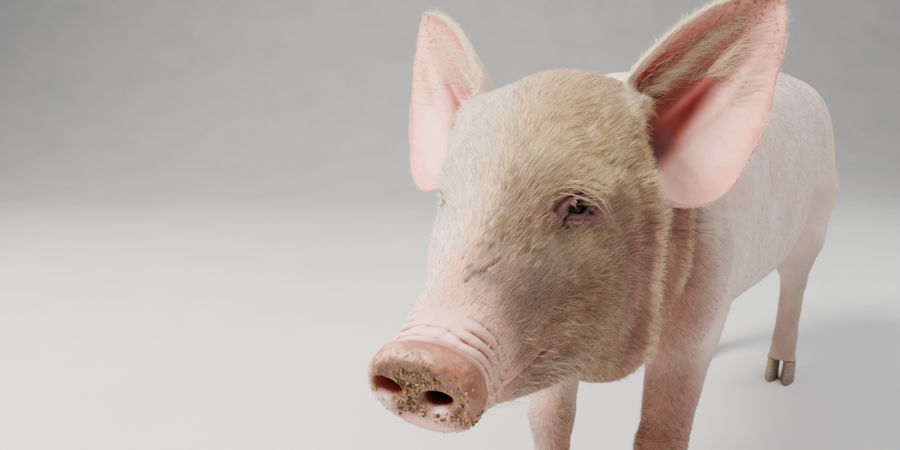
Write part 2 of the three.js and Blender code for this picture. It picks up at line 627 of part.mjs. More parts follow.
// ---- snout: the flat round end of the nose, with two nostrils
function buildSnout() {
  const profile = [[SNOUT.deep, 0.84], [9, 0.98], [3, 1], [-1, 0.93], [-3, 0.76]];
  const askew = new THREE.Matrix4().makeRotationY(radians(SNOUT.roll))
    .setPosition(SNOUT.left, 0, SNOUT.up);
  const rings = profile.map(([s, grow]) => Array.from({ length: 26 }, (_, i) => {
    const turn = i / 26 * Math.PI * 2;
    const round = (v) => Math.sign(v) * Math.abs(v) ** 0.88;
    const [wide, high] = [round(Math.cos(turn)), round(Math.sin(turn))];
    const narrowBelow = 1 - 0.1 * Math.max(-high, 0);
    return [wide * SNOUT.half * grow * narrowBelow, s, high * SNOUT.high * grow];
  }));
  let snout = ringSolid(rings, askew);
  for (const side of [1, -1]) {
    const hole = new THREE.SphereGeometry(1, 16, 10).scale(NOSTRIL.wide, NOSTRIL.deep, NOSTRIL.high)
      .rotateY(radians(NOSTRIL.tilt * side))
      .translate(NOSTRIL.left + NOSTRIL.apart * side, -1, NOSTRIL.up);
    snout = snout.subtract(solid(hole, askew));
  }
  keep('snout_disc', snout, SNOUT_SKIN, headMatrix);
}

buildBody();
buildTail();
buildHead();
buildSnout();

// ---------------------------------------------------------------- the model
const pig = new THREE.Group();
pig.position.set(MODEL_SHIFT.x, MODEL_SHIFT.y, 0);
for (const { name, made, look, matrix } of pieces) {
  const mesh = made.getMesh();
  const geometry = new THREE.BufferGeometry()
    .setAttribute('position', new THREE.BufferAttribute(new Float32Array(mesh.vertProperties), 3))
    .setIndex(new THREE.BufferAttribute(new Uint32Array(mesh.triVerts), 1));
  if (matrix) geometry.applyMatrix4(matrix);
  geometry.computeVertexNormals();
  const part = new THREE.Mesh(geometry, new THREE.MeshStandardMaterial({ ...look, metalness: 0 }));
  part.name = name;
  pig.add(part);
}

const model = new THREE.Group();
model.add(pig);
export default model;
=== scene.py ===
import bpy
import math
from concurrent.futures import ThreadPoolExecutor
import numpy as np
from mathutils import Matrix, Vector


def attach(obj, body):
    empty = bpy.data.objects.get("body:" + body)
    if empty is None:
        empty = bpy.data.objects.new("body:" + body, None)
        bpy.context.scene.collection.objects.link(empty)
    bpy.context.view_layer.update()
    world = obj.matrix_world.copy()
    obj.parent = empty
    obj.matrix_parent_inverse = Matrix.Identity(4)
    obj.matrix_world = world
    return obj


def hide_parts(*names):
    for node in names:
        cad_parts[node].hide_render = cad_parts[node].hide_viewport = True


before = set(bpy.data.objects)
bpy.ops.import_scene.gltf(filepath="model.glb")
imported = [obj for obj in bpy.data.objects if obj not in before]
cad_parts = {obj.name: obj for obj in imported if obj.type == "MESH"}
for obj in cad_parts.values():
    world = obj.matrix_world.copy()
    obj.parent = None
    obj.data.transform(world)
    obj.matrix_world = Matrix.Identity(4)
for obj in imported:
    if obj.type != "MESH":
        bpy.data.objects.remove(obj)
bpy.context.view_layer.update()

# ---- The hide --------------------------------------------------------------------------------
# One unbroken skin over muscle and fat, from the rim of the snout to the tip of the tail. It is a
# distance field in millimetres: trunk, neck, skull and jaw as lofts, muscles and leg bones melted
# into them. The pig faces -Y, its left is +X, and every row of numbers below runs along the body.
SHIFT = np.array([40.0, 74.0, 0.0])     # from these millimetres to the frame of the whole model
COAT_DEPTH = 1.0                        # the skin lies this far under the outside of the coat


def curve(places, values):
    """A smooth curve through stations, looked up in a table of half-millimetre steps."""
    places, values = np.array(places, float), np.array(values, float)
    slope = np.empty_like(values)
    slope[1:-1] = (values[2:] - values[:-2]) / (places[2:] - places[:-2])
    slope[0] = (values[1] - values[0]) / (places[1] - places[0])
    slope[-1] = (values[-1] - values[-2]) / (places[-1] - places[-2])
    at = np.arange(places[0], places[-1] + 0.5, 0.5)
    i = np.clip(np.searchsorted(places, at, side="right") - 1, 0, len(places) - 2)
    width = places[i + 1] - places[i]
    t = np.clip((at - places[i]) / width, 0, 1)
    table = ((2 * t**3 - 3 * t**2 + 1) * values[i] + (t**3 - 2 * t**2 + t) * slope[i] * width
             + (3 * t**2 - 2 * t**3) * values[i + 1] + (t**3 - t**2) * slope[i + 1] * width)
    return lambda x: np.interp(x, at, table)


def loft_table(at, top, bottom, half, cap, power, widest=None):
    low, high = curve(at, bottom), curve(at, top)
    middle = curve(at, widest) if widest else (lambda x: (low(x) + high(x)) / 2)
    return dict(ends=(at[0], at[-1]), top=high, bottom=low, half=curve(at, half), middle=middle,
                cap=cap, power=power)


TRUNK = loft_table(
    at=[-400, -340, -260, -150, 0, 150, 270, 370, 450, 500, 522],
    top=[540, 583, 606, 620, 634, 643, 638, 622, 596, 566, 540],
    bottom=[376, 324, 296, 280, 268, 264, 278, 314, 366, 412, 446],
    half=[74, 100, 120, 134, 144, 145, 131, 118, 100, 74, 44],
    cap=30, power=2.35)
# The head has its own frame, from the middle of the snout's face: l left, s back, u up.
HEAD_AT = np.array([47.0, -718.0, 398.0])
YAW, PITCH = math.radians(13.2), math.radians(18.6)
SKULL = loft_table(
    at=[4, 20, 45, 80, 120, 160, 200, 240, 280, 315],
    top=[27, 28, 32, 38, 47, 66, 84, 93, 94, 85],
    bottom=[-26, -27, -35, -46, -62, -84, -104, -116, -118, -100],
    half=[34, 34, 36, 41, 51, 66, 79, 88, 92, 84],
    widest=[0, 0, -3, -8, -14, -18, -22, -28, -34, -30],
    cap=22, power=2.2)
JAW = loft_table(
    at=[36, 55, 80, 110, 140, 170, 200, 240],
    top=[-30, -33, -37, -40, -40, -40, -40, -40],
    bottom=[-50, -63, -81, -101, -120, -138, -153, -160],
    half=[20, 28, 37, 48, 58, 66, 73, 78],
    cap=12, power=2.2)
# Muscles: centre, half sizes, tilt about X in degrees. Those beside the midline are mirrored.
CHEEK = ((50, 205, -46), (38, 66, 52), 0)
JOWL = ((60, 242, -112), (50, 64, 62), 0)
BROW = ((38, 190, 54), (22, 32, 16), 0)
EAR_ROOT = ((64, 286, 50), (32, 36, 38), 0)
SHOULDER = ((70, -282, 440), (62, 98, 150), -14)
HAM = ((76, 402, 446), (70, 122, 160), 10)
BRISKET = ((0, -346, 388), (72, 66, 78), 0)
LOIN = ((0, 330, 545), (118, 150, 88), 0)
FORELEG = dict(joints=[(70, -318, 412), (76, -284, 322), (70, -318, 176), (68, -322, 84), (68, -340, 40)],
               radius=[64, 50, 30, 24.5, 27], narrow=[0.84, 0.76, 0.86, 0.9, 1.0],
               knob=((70, -328, 180), (70, -326, 160), 29))
HINDLEG = dict(joints=[(88, 372, 400), (98, 352, 334), (93, 458, 214), (91, 438, 88), (91, 418, 42)],
               radius=[96, 72, 33, 25.5, 27], narrow=[0.76, 0.72, 0.74, 0.86, 1.0],
               knob=((93, 480, 228), (93, 464, 168), 18))
NECK_FROM, NECK_TO, NECK_HALF, NECK_HIGH = (0, -300, 468), (0, -455, 478), 96, 122
TAIL_PATH = [(0, 490, 548), (0, 528, 560), (3, 556, 548), (9, 566, 512), (14, 562, 472), (8, 566, 440),
             (-8, 580, 430)]
TAIL_ROOT, TAIL_TIP = 15.0, 5.0
CORONET_HIGH, CORONET_SLOPE = 40.0, math.radians(16)    # where skin ends and hoof begins

LEFT = np.array([math.cos(YAW), math.sin(YAW), 0.0])
BACK = np.array([-math.sin(YAW) * math.cos(PITCH), math.cos(YAW) * math.cos(PITCH), math.sin(PITCH)])
UP = np.array([math.sin(YAW) * math.sin(PITCH), -math.cos(YAW) * math.sin(PITCH), math.cos(PITCH)])
HEAD_AXES = np.array([LEFT, BACK, UP])


def to_head(p):
    return (p - HEAD_AT) @ HEAD_AXES.T


def from_head(q):
    return np.asarray(q, float) @ HEAD_AXES + HEAD_AT


def ramp(low, high, x):
    """Runs smoothly from 0 at low to 1 at high."""
    t = np.clip((x - low) / (high - low), 0, 1)
    return t * t * (3 - 2 * t)


def bell(x, width):
    return np.exp(-(x / width) ** 2)


def melt(a, b, k):
    """Joins two distances so that their surfaces run into each other over k."""
    h = np.maximum(k - np.abs(a - b), 0) / k
    return np.minimum(a, b) - h * h * k / 4


def carve(a, b, k):
    """Takes b away from a with an edge rounded over k."""
    return -melt(-a, b, k)


def within(a, b, soft):
    """The room inside both a and b, with the edge between them rounded by soft."""
    a, b = a + soft, b + soft
    return np.sqrt(np.maximum(a, 0)**2 + np.maximum(b, 0)**2) + np.minimum(np.maximum(a, b), 0) - soft


def rows(*columns):
    return np.stack(columns, axis=-1)


ROUGH = np.random.default_rng(5).uniform(-1, 1, (32, 32, 32))


def lumps(p, size):
    """Soft unevenness between -1 and 1, with lumps about size across."""
    q = p / size
    low = np.floor(q)
    t = q - low
    t = t * t * (3 - 2 * t)
    i = low.astype(int) & 31
    j = (i + 1) & 31
    total = 0
    for a in (0, 1):
        for b in (0, 1):
            for c in (0, 1):
                pick = [(i, j)[k][:, n] for n, k in enumerate((a, b, c))]
                weight = [t[:, n] if k else 1 - t[:, n] for n, k in enumerate((a, b, c))]
                total = total + ROUGH[pick[0], pick[1], pick[2]] * weight[0] * weight[1] * weight[2]
    return total


def muscle(x, y, z, shape):
    at, size, tilt = shape
    c, s = math.cos(math.radians(tilt)), math.sin(math.radians(tilt))
    dx, dy, dz = x - at[0], y - at[1], z - at[2]
    px, py, pz = dx / size[0], (c * dy + s * dz) / size[1], (c * dz - s * dy) / size[2]
    k0 = np.sqrt(px * px + py * py + pz * pz)
    k1 = np.sqrt((px / size[0]) ** 2 + (py / size[1]) ** 2 + (pz / size[2]) ** 2)
    return k0 * (k0 - 1) / np.maximum(k1, 1e-9)


def bone(x, y, z, a, b, ra=0, rb=0, na=1.0, nb=1.0):
    """A round bar from a to b. ra and rb are its radii there, na and nb its share of width across."""
    ux, uy, uz = b[0] - a[0], b[1] - a[1], b[2] - a[2]
    t = ((x - a[0]) * ux + (y - a[1]) * uy + (z - a[2]) * uz) / (ux * ux + uy * uy + uz * uz)
    t = np.clip(t, 0, 1)
    dx = (x - a[0] - t * ux) / (na + (nb - na) * t)
    dy, dz = y - a[1] - t * uy, z - a[2] - t * uz
    return np.sqrt(dx * dx + dy * dy + dz * dz) - (ra + (rb - ra) * t)


def loft(along, across, up, table):
    at = np.clip(along, *table["ends"])
    top, bottom, half, middle = (table[k](at) for k in ("top", "bottom", "half", "middle"))
    v = up - middle
    n = table["power"]
    over = along - at
    rho = (np.abs(v / np.where(v > 0, top - middle, middle - bottom)) ** n + np.abs(across / half) ** n
           + np.abs(over / table["cap"]) ** n) ** (1 / n)
    reach = np.sqrt(v * v + across * across + over * over)
    deepest = -np.minimum(half, (top - bottom) / 2)
    return np.where(rho < 1e-6, deepest, reach * (1 - 1 / np.maximum(rho, 1e-6)))


def leg_flesh(x, y, z, leg):
    joints, radius, narrow = leg["joints"], leg["radius"], leg["narrow"]
    d = None
    for i in range(len(joints) - 1):
        part = bone(x, y, z, joints[i], joints[i + 1], radius[i], radius[i + 1], narrow[i], narrow[i + 1])
        d = part if d is None else melt(d, part, 14)
    a, b, r = leg["knob"]
    d = melt(d, bone(x, y, z, a, b, r, r - 4, 0.82, 0.82), 16)
    foot = joints[-1]
    # the cleft between the toes, and the soft band of skin round the top of the hooves
    above = (z - CORONET_HIGH) * math.cos(CORONET_SLOPE) + (y - foot[1]) * math.sin(CORONET_SLOPE)
    low = z < 110
    if low.any():
        dx = x[low] - foot[0]
        cleft = 4.5 * bell(dx, 5) * ramp(46, 8, above[low])
        band = 1.6 * bell(above[low] - 4, 5)
        d[low] = np.maximum(d[low] + cleft - band, -above[low] - 1.5)
    return d


# The ear's plane: a runs from root to tip, b across it from front to rear edge, c out of its cup.
def unit(v):
    v = np.asarray(v, float)
    return v / np.linalg.norm(v)


EAR_AT = np.array([72.0, 284.0, 74.0])
EAR_ALONG = unit((0.475, 0.784, 0.398))
EAR_FACING = np.array([0.6, -0.619, 0.5])
EAR_FACING = unit(EAR_FACING - EAR_ALONG * (EAR_FACING @ EAR_ALONG))
EAR_AXES = np.array([EAR_ALONG, np.cross(EAR_ALONG, EAR_FACING), EAR_FACING])
EAR_LONG = 227.0
EAR_FLOOR = -0.42       # where the cup is deepest, from -1 at the front edge to 1 at the rear
ear_places = [-30, -8, 20, 50, 80, 110, 140, 170, 198, 216, 227]
ear_front = curve(ear_places, [40, 2, -17, -22, -22, -20, -14, -4, 9, 20, 28])
ear_rear = curve(ear_places, [70, 100, 116, 117, 111, 100, 86, 70, 52, 40, 32])
ear_deep = curve(ear_places, [40, 42, 41, 40, 36, 29, 21, 14, 8, 4, 1])
EAR_MAP_OFF = (45, 60)      # where the ear's a and b are 0 on its map


def ear_map():
    """Heights of the ear's inner and outer face, their steepness and the distance to its edge, on a
    grid of millimetres over its plane."""
    a, b = np.meshgrid(*(np.arange(n) - off for n, off in zip((291.0, 216.0), EAR_MAP_OFF)), indexing="ij")
    front, rear = ear_front(a), ear_rear(a) + 1.3 * np.sin(a / 13) * ramp(40, 90, a)
    v = (2 * b - front - rear) / (rear - front)
    wall = np.where(v < EAR_FLOOR, (EAR_FLOOR - v) / (1 + EAR_FLOOR), (v - EAR_FLOOR) / (1 - EAR_FLOOR))
    cup = 1 - np.minimum(wall, 1.25) ** np.where(v < EAR_FLOOR, 2.4, 1.7)
    sheet = -ear_deep(a) * cup
    t = np.clip(a / EAR_LONG, 0, 1)
    thick = np.maximum((7.4 - 4.6 * t) * (0.4 + 0.6 * np.sqrt(np.clip(1 - v**6, 0, 1))), 3.6)
    # gristle ridges that fan out from the ear's hollow, and the soft waves between them
    fade = ramp(5, 45, a) * (1 - ramp(110, 175, a))
    ridges = (7.0 * bell(v + 0.66 - 0.0012 * a, 0.08) + 6.5 * bell(v + 0.3 - 0.0021 * a, 0.09)
              + 3.0 * bell(v - 0.04 - 0.003 * a, 0.1)) * fade
    waves = 0.5 * np.sin(a / 9 + 3 * v) * ramp(20, 60, a) + 0.35 * np.sin(a / 4.6 + 7 * v + 1)
    steep = np.sqrt(1 + sum(g**2 for g in np.gradient(sheet)))
    slopes = [1 / np.sqrt(1 + np.gradient(edge[:, 0])**2)[:, None] for edge in (front, rear)]
    outside = -melt(-(front - b) * slopes[0], -(b - rear) * slopes[1], 3)
    outside = -melt(-outside, EAR_LONG + 1 - a, 8)
    outside = -melt(-outside, a + 16, 8)
    inner, outer = sheet + ridges + waves * 0.6, sheet - thick * np.minimum(steep, 3) + waves * 0.4
    return rows(inner, outer, 1 / steep, outside)


EAR_MAP = ear_map()


def ear_coordinates(side, s, u):
    return (rows(side, s, u) - EAR_AT) @ EAR_AXES.T


def ear_sheet(a, b):
    """The ear map's four values between its millimetres."""
    fa = np.clip(a + EAR_MAP_OFF[0], 0, EAR_MAP.shape[0] - 1.001)
    fb = np.clip(b + EAR_MAP_OFF[1], 0, EAR_MAP.shape[1] - 1.001)
    i, j = fa.astype(int), fb.astype(int)
    ta, tb = (fa - i)[:, None], (fb - j)[:, None]
    return ((EAR_MAP[i, j] * (1 - tb) + EAR_MAP[i, j + 1] * tb) * (1 - ta)
            + (EAR_MAP[i + 1, j] * (1 - tb) + EAR_MAP[i + 1, j + 1] * tb) * ta).T


def ear_skin(side, s, u):
    a, b, c = ear_coordinates(side, s, u).T
    inner, outer, flat, outside = ear_sheet(a, b)
    outside = outside + np.maximum(np.abs(b - 48) - 105, 0)
    return within(np.maximum(c - inner, outer - c) * flat, outside, 1.2)


def ear_hollow(a, b, c):
    """What the cup of the ear and the mouth of its canal take out of the side of the head."""
    cup = muscle(a, b, c, ((56, 46, -16), (52, 36, 25), 0))
    for at, half in (((6, 44, 18), (36, 42, 38)), ((10, 74, 4), (34, 28, 28)), ((10, 36, -25), (22, 15, 12))):
        cup = melt(cup, muscle(a, b, c, (at, half, 0)), 12)
    inner, outer, _, _ = ear_sheet(a, b)
    return -melt(-cup, c - (inner + outer) / 2, 3)      # never through the ear's back


# The face: mouth, eyes, lids and snout, in the head's frame.
MOUTH_FRONT, MOUTH_CORNER, MOUTH_U_FRONT, MOUTH_U_CORNER = 18.0, 124.0, -31.0, -44.0
EYE_AT, EYE_RADIUS = np.array([45.0, 176.0, 38.5]), 12.5
EYE_OUT = unit((0.9, -0.36, 0.24))
EYE_SLANT = math.radians(-24)
EYE_ACROSS = np.array([0.0, math.cos(EYE_SLANT), math.sin(EYE_SLANT)])
EYE_ACROSS = unit(EYE_ACROSS - EYE_OUT * (EYE_ACROSS @ EYE_OUT))    # towards the rear corner
EYE_ABOVE = np.cross(EYE_OUT, EYE_ACROSS)
EYE_ABOVE = EYE_ABOVE * np.sign(EYE_ABOVE[2])
EYE_AXES = np.array([EYE_ACROSS, EYE_ABOVE, EYE_OUT])
LID, EYE_WIDE, EYE_HIGH, EYE_LOW = 3.2, 12.0, 6.2, 5.2
# The snout's disc sits a little askew: its middle, its roll, and the nostrils from there.
SNOUT_AT, SNOUT_ROLL = (-1.5, -3.0), math.radians(5.5)
SNOUT_HALF, SNOUT_HIGH, SNOUT_DEEP = 38.0, 30.0, 15.0
NOSTRIL_OFF, NOSTRIL_APART, NOSTRIL_TILT = (-7.0, -0.5), 17.0, math.radians(14)
NOSTRIL_WIDE, NOSTRIL_HIGH, NOSTRIL_DEEP = 10.0, 6.2, 23.0


def mouth_height(s):
    return (MOUTH_U_FRONT
            + (MOUTH_U_CORNER - MOUTH_U_FRONT) * (s - MOUTH_FRONT) / (MOUTH_CORNER - MOUTH_FRONT))


def eye_coordinates(side, s, u):
    return (rows(side, s, u) - EYE_AT) @ EYE_AXES.T


def lid_ring(across, above):
    """1 on the rim of the opening between the lids, growing outwards."""
    t = np.clip(across / EYE_WIDE, -1, 1)
    high = np.where(above > 0, EYE_HIGH, EYE_LOW)
    half = high * np.maximum(1 - t * t, 0.02) ** 0.62
    return np.sqrt((across / EYE_WIDE) ** 2 + (above / high) ** 2), half


def tear_marks(across, above):
    """Distance to the hooked furrow below the inner corner of the eye and the notch at the outer one."""
    marks = ((-10, -3, 0), (-13, -10, 0)), ((-16, -12.5, 0), (-9, -15, 0)), ((16, -3, 0), (19, -5.5, 0))
    return np.minimum.reduce([bone(across, above, 0 * above, start, end) for start, end in marks])


def snout_coordinates(l, u):
    c, s = math.cos(SNOUT_ROLL), math.sin(SNOUT_ROLL)
    dl, du = l - SNOUT_AT[0], u - SNOUT_AT[1]
    return c * dl - s * du, c * du + s * dl


def snout_rho(across, above):
    wide = SNOUT_HALF * (1 - 0.1 * np.clip(-above / SNOUT_HIGH, 0, 1))
    return (np.abs(across / wide) ** 2.27 + np.abs(above / SNOUT_HIGH) ** 2.27) ** (1 / 2.27)


def nostril_ring(across, above):
    c, s = math.cos(NOSTRIL_TILT), math.sin(NOSTRIL_TILT)
    dl, du = np.abs(across - NOSTRIL_OFF[0]) - NOSTRIL_APART, above - NOSTRIL_OFF[1]
    return np.sqrt(((c * dl + s * du) / NOSTRIL_WIDE) ** 2 + ((c * du - s * dl) / NOSTRIL_HIGH) ** 2)


def snout_skin(across, s, above):
    """The flat disc of the nose: a rolled rim round a slightly dished face."""
    rho = snout_rho(across, above)
    out = np.sqrt(across**2 + above**2) * (1 - 1 / np.maximum(rho, 1e-3))
    rim = bell(rho - 0.88, 0.13)
    around = bell(nostril_ring(across, above) - 1.4, 0.35)
    below = bell(nostril_ring(across, above + 11), 0.8)
    face = -0.8 - 1.7 * rim - 0.9 * around - 1.6 * below
    return within(out, np.maximum(face - s, s - SNOUT_DEEP), 4.2)


def head_flesh(side, s, u):
    d = melt(loft(s, side, u, SKULL), loft(s, side, u, JAW), 6 + 28 * ramp(95, 170, s))
    front = s < MOUTH_CORNER + 30
    if front.any():
        lf, sf, uf = side[front], s[front], u[front]
        for l0, s0, l1, s1, above, r in ((23, 34, 47, MOUTH_CORNER - 4, 7, 8),
                                         (17, 38, 44, MOUTH_CORNER - 8, -7, 7)):
            start, end = (l0, s0, mouth_height(s0) + above), (l1, s1, mouth_height(s1) + above)
            d[front] = melt(d[front], bone(lf, sf, uf, start, end, r, r), 7)
    for shape, k in ((CHEEK, 28), (JOWL, 28), (BROW, 20), (EAR_ROOT, 24)):
        d = melt(d, muscle(side, s, u, shape), k)
    hollow = np.sqrt((side - EYE_AT[0] - 22) ** 2 + ((s - EYE_AT[1] + 8) * 0.7) ** 2
                     + (u - EYE_AT[2] + 2) ** 2) - 11
    return carve(d, hollow, 16)


def lip_line():
    """How far the lips stand from the midline, along the mouth."""
    s, side = np.meshgrid(np.arange(20.0, 134.0, 3.0), np.arange(0.0, 90.0, 0.5), indexing="ij")
    inside = head_flesh(side.ravel(), s.ravel(), mouth_height(s.ravel())).reshape(s.shape) < 0
    return curve(s[:, 0], inside.sum(1) * 0.5)


lip_face = lip_line()


def crease(phase):
    """Narrow furrows, one each time phase passes a whole number: 1 at the bottom, 0 between."""
    return (1 - np.abs(np.sin(np.pi * phase))) ** 1.4


def snout_wrinkles(l, s, u):
    """Where the fine wrinkles run: round the sides behind the snout's disc, and over its bridge."""
    side = np.abs(l)
    q = rows(l, s, u)
    broad, small = lumps(q, 24.0), lumps(q + 50, 8.0)
    ring = bell(s - 32, 14) * ramp(0, 14, side - 0.4 * u - 2) * (1 + 0.35 * ramp(0, 20, l))
    rings = crease((s + 0.6 * small + 3.0 * broad + 0.2 * u) / 7.6) * ring
    bridge = bell(s - 24, 9) * ramp(10, 20, u) * ramp(32, 20, side)
    across = crease((s + 0.7 * small + 4.0 * broad) / 9.0) * bridge
    along = crease((l + 0.8 * small + 3 * broad - 0.6 * s) / 15.0 + 0.4) * bridge * 0.6
    return rings, across, along, ring


# Short furrows on the bridge of the nose, as corners (l, s) that a line joins.
FURROWS = (((1, 80), (9, 104), (19, 122)), ((-7, 90), (2, 108), (8, 122)), ((13, 86), (24, 106), (35, 120)),
           ((4, 68), (15, 84)), ((-2, 124), (6, 138)), ((20, 128), (30, 138)))


def bridge_furrows(l, s, u):
    """1 at the bottom of the short furrows across the bridge of the nose, 0 beside them."""
    q = rows(l, s, u)
    small = lumps(q + 70, 7.0)
    near = np.full_like(l, 99.0)
    for line in FURROWS:
        for start, end in zip(line, line[1:]):
            near = np.minimum(near, bone(l + 3 * small, s, 0 * l, (*start, 0), (*end, 0)))
    return bell(near, 1.6 + 0.6 * small) * ramp(0, 20, u) * ramp(-0.35, 0.25, lumps(q + 44, 6.0))


# Folds as lines (start, end, depth, width): from the corner of the mouth up over the cheek, and a
# second one behind it. Upright folds between cheek and neck as (depth, place, width), crests below 0.
CHEEK_FOLDS = ((54, 128, -8), (40, 86, -38), 2.2, 6), ((60, 150, 2), (56, 132, -40), 1.4, 8)
NECK_FOLDS = ((4.0, 224, 6), (-6.5, 239, 9), (8.0, 255, 8), (-2.4, 268, 8), (4.0, 283, 8), (-3.0, 300, 10),
              (4.0, 318, 9))


def folds(l, s, u):
    """How far the head's skin sinks below its smooth shape: wrinkles, furrows and folds."""
    side = np.abs(l)
    q = rows(l, s, u)
    broad, small = lumps(q, 24.0), lumps(q + 50, 8.0)
    sink = (0.9 * broad + 0.45 * small) * ramp(30, 80, s)
    rings, across, along, ring = snout_wrinkles(l, s, u)
    sink += (2.1 + 0.8 * small) * rings - 0.7 * ring + 1.2 * across + 1.2 * along
    sink += 1.8 * bridge_furrows(l, s, u)
    for start, end, deep, wide in CHEEK_FOLDS:
        sink += deep * bell(bone(side, s, u, start, end), wide)
    upright = ramp(60, 84, side) * ramp(52, 20, u) * ramp(-165, -110, u) * (0.5 + 0.5 * ramp(-20, 20, l))
    bend = s - 0.3 * np.minimum(u + 29, 0) + 5 * broad + 1.2 * small
    deep = 1.6 * bell(bend - 199, 6) - 2.6 * bell(bend - 212, 8) * ramp(-100, -60, u)
    for fold, at, wide in NECK_FOLDS:
        deep = deep + fold * bell(bend - at, wide)
    return sink + deep * upright


def face(l, s, u, d):
    """Adds snout, nostrils, mouth, lids and eye sockets to d, the distance to the head."""
    side = np.abs(l)
    nose = s < 60
    if nose.any():
        ln, sn, un, dn = l[nose], s[nose], u[nose], d[nose]
        across, above = snout_coordinates(ln, un)
        clods = 0.9 * np.maximum(lumps(rows(ln, sn, un), 3.4), 0)
        clods = clods * ramp(12, 8, sn) * ramp(-24, -12, above)
        dn = melt(np.maximum(dn, 5 - sn), snout_skin(across, sn, above) - clods, 2.5)
        hole = nostril_ring(across, above + 0.15 * np.maximum(sn, 0))
        narrow = 1 - 0.024 * np.maximum(sn, 0)
        well = np.maximum((hole - narrow) * 7.0, sn - NOSTRIL_DEEP)
        d[nose] = carve(dn, well, 4.2)
    # the line of the mouth: a furrow that narrows to a slit between the lips
    line = (s > 30) & (s < MOUTH_CORNER + 12)
    if line.any():
        dm, sm, um = d[line], s[line], u[line]
        height = mouth_height(sm) + 1.5 * np.sin(sm / 17) + 4 * ramp(100, 124, sm)
        depth = side[line] - lip_face(sm) + 6.5 * ramp(34, 56, sm)
        gape = (0.7 + 0.34 * np.maximum(depth, 0)) * ramp(MOUTH_CORNER + 2, MOUTH_CORNER - 16, sm)
        slit = np.maximum(np.abs(um - height) - gape, -depth)
        slit = np.maximum(slit, sm - MOUTH_CORNER - 1)
        d[line] = carve(dm, slit, 1.6)
    near = np.abs(s - EYE_AT[1]) < 45
    if near.any():
        across, above, out = eye_coordinates(side[near], s[near], u[near]).T
        dn = d[near]
        far = np.sqrt(across**2 + above**2 + out**2)
        ring, half = lid_ring(across, above)
        facing = ramp(0, 6, out)
        uneven = lumps(rows(across, above, out), 6.0)
        dn = dn + 0.5 * facing * bell(ring - 2.0, 0.7) * lumps(rows(across, above * 1.6, out) + 20, 3.0)
        dn = melt(dn, far - EYE_RADIUS - LID, 9)
        # the fold of the upper lid, the bags below, and the tear furrow from the inner corner
        upper = (2.0 * bell(ring - 1.66, 0.2) - 1.0 * bell(ring - 1.25, 0.2)
                 + 0.6 * bell(ring - 2.4 - 0.2 * uneven, 0.22))
        bags = (1.0 * bell(ring - 1.75 - 0.15 * uneven, 0.18) - 0.4 * bell(ring - 1.3, 0.2)
                + 0.8 * bell(ring - 2.45 - 0.4 * uneven, 0.2))
        dn = dn + facing * ramp(-4, 2, above) * upper + facing * ramp(3, -3, above) * bags
        dn = dn + 1.8 * facing * bell(tear_marks(across, above), 1.5)
        gap = np.maximum(np.abs(above) - half, np.abs(across) - EYE_WIDE) * 0.8
        dn = carve(dn, np.maximum(gap, 2 - out), 1.4)
        d[near] = carve(dn, far - EYE_RADIUS - 0.25, 0.3)
    return d


def tail_line():
    path = np.array([TAIL_PATH[0]] + TAIL_PATH + [TAIL_PATH[-1]], float)
    points = []
    for i in range(1, len(path) - 2):
        p0, p1, p2, p3 = path[i - 1:i + 3]
        for t in np.linspace(0, 1, 5)[:-1]:
            points.append(0.5 * (2 * p1 + (p2 - p0) * t + (2 * p0 - 5 * p1 + 4 * p2 - p3) * t**2
                                 + (3 * p1 - p0 - 3 * p2 + p3) * t**3))
    return np.array(points + [path[-1]])


TAIL_LINE = tail_line()


def tail_skin(x, y, z):
    d = np.full_like(x, 1e3)
    last = len(TAIL_LINE) - 1
    for i in range(last):
        r0, r1 = (TAIL_ROOT + (TAIL_TIP - TAIL_ROOT) * ramp(0, 1, k / last) for k in (i, i + 1))
        d = np.minimum(d, bone(x, y, z, TAIL_LINE[i], TAIL_LINE[i + 1], r0, r1))
    return d


TEATS = [(36.0 + 3 * (k % 2), -205.0 + 76.0 * k) for k in range(6)]
DETAIL = 22.0       # folds and features are worked out only this close to the skin


def body_folds(x, y, z, side):
    """Creases behind the shoulder, the line of the spine and the gentle unevenness of the barrel."""
    sink = 1.6 * bell(x, 15) * ramp(520, 580, z) * ramp(-300, -100, y)
    crossing = y + 0.22 * (z - 460)
    upright = ramp(70, 110, side) * ramp(330, 390, z) * ramp(610, 560, z)
    q = rows(x, y, z)
    crossing = crossing + 14 * lumps(q + 3, 60.0)
    for fold, at, wide in ((1.1, -236, 9), (0.8, -204, 8), (0.6, -168, 9), (-0.5, -220, 9), (-0.4, -186, 9)):
        sink += upright * fold * bell(crossing - at, wide)
    sink += 1.7 * lumps(q, 70.0) + 0.7 * lumps(q + 9, 26.0)
    sink += 5 * bell(bone(side, y, z, (118, -236, 372), (104, -250, 300)), 12)      # behind the elbow
    sink += 5 * bell(bone(side, y, z, (124, 276, 420), (112, 262, 330)), 16)        # in front of the thigh
    return sink


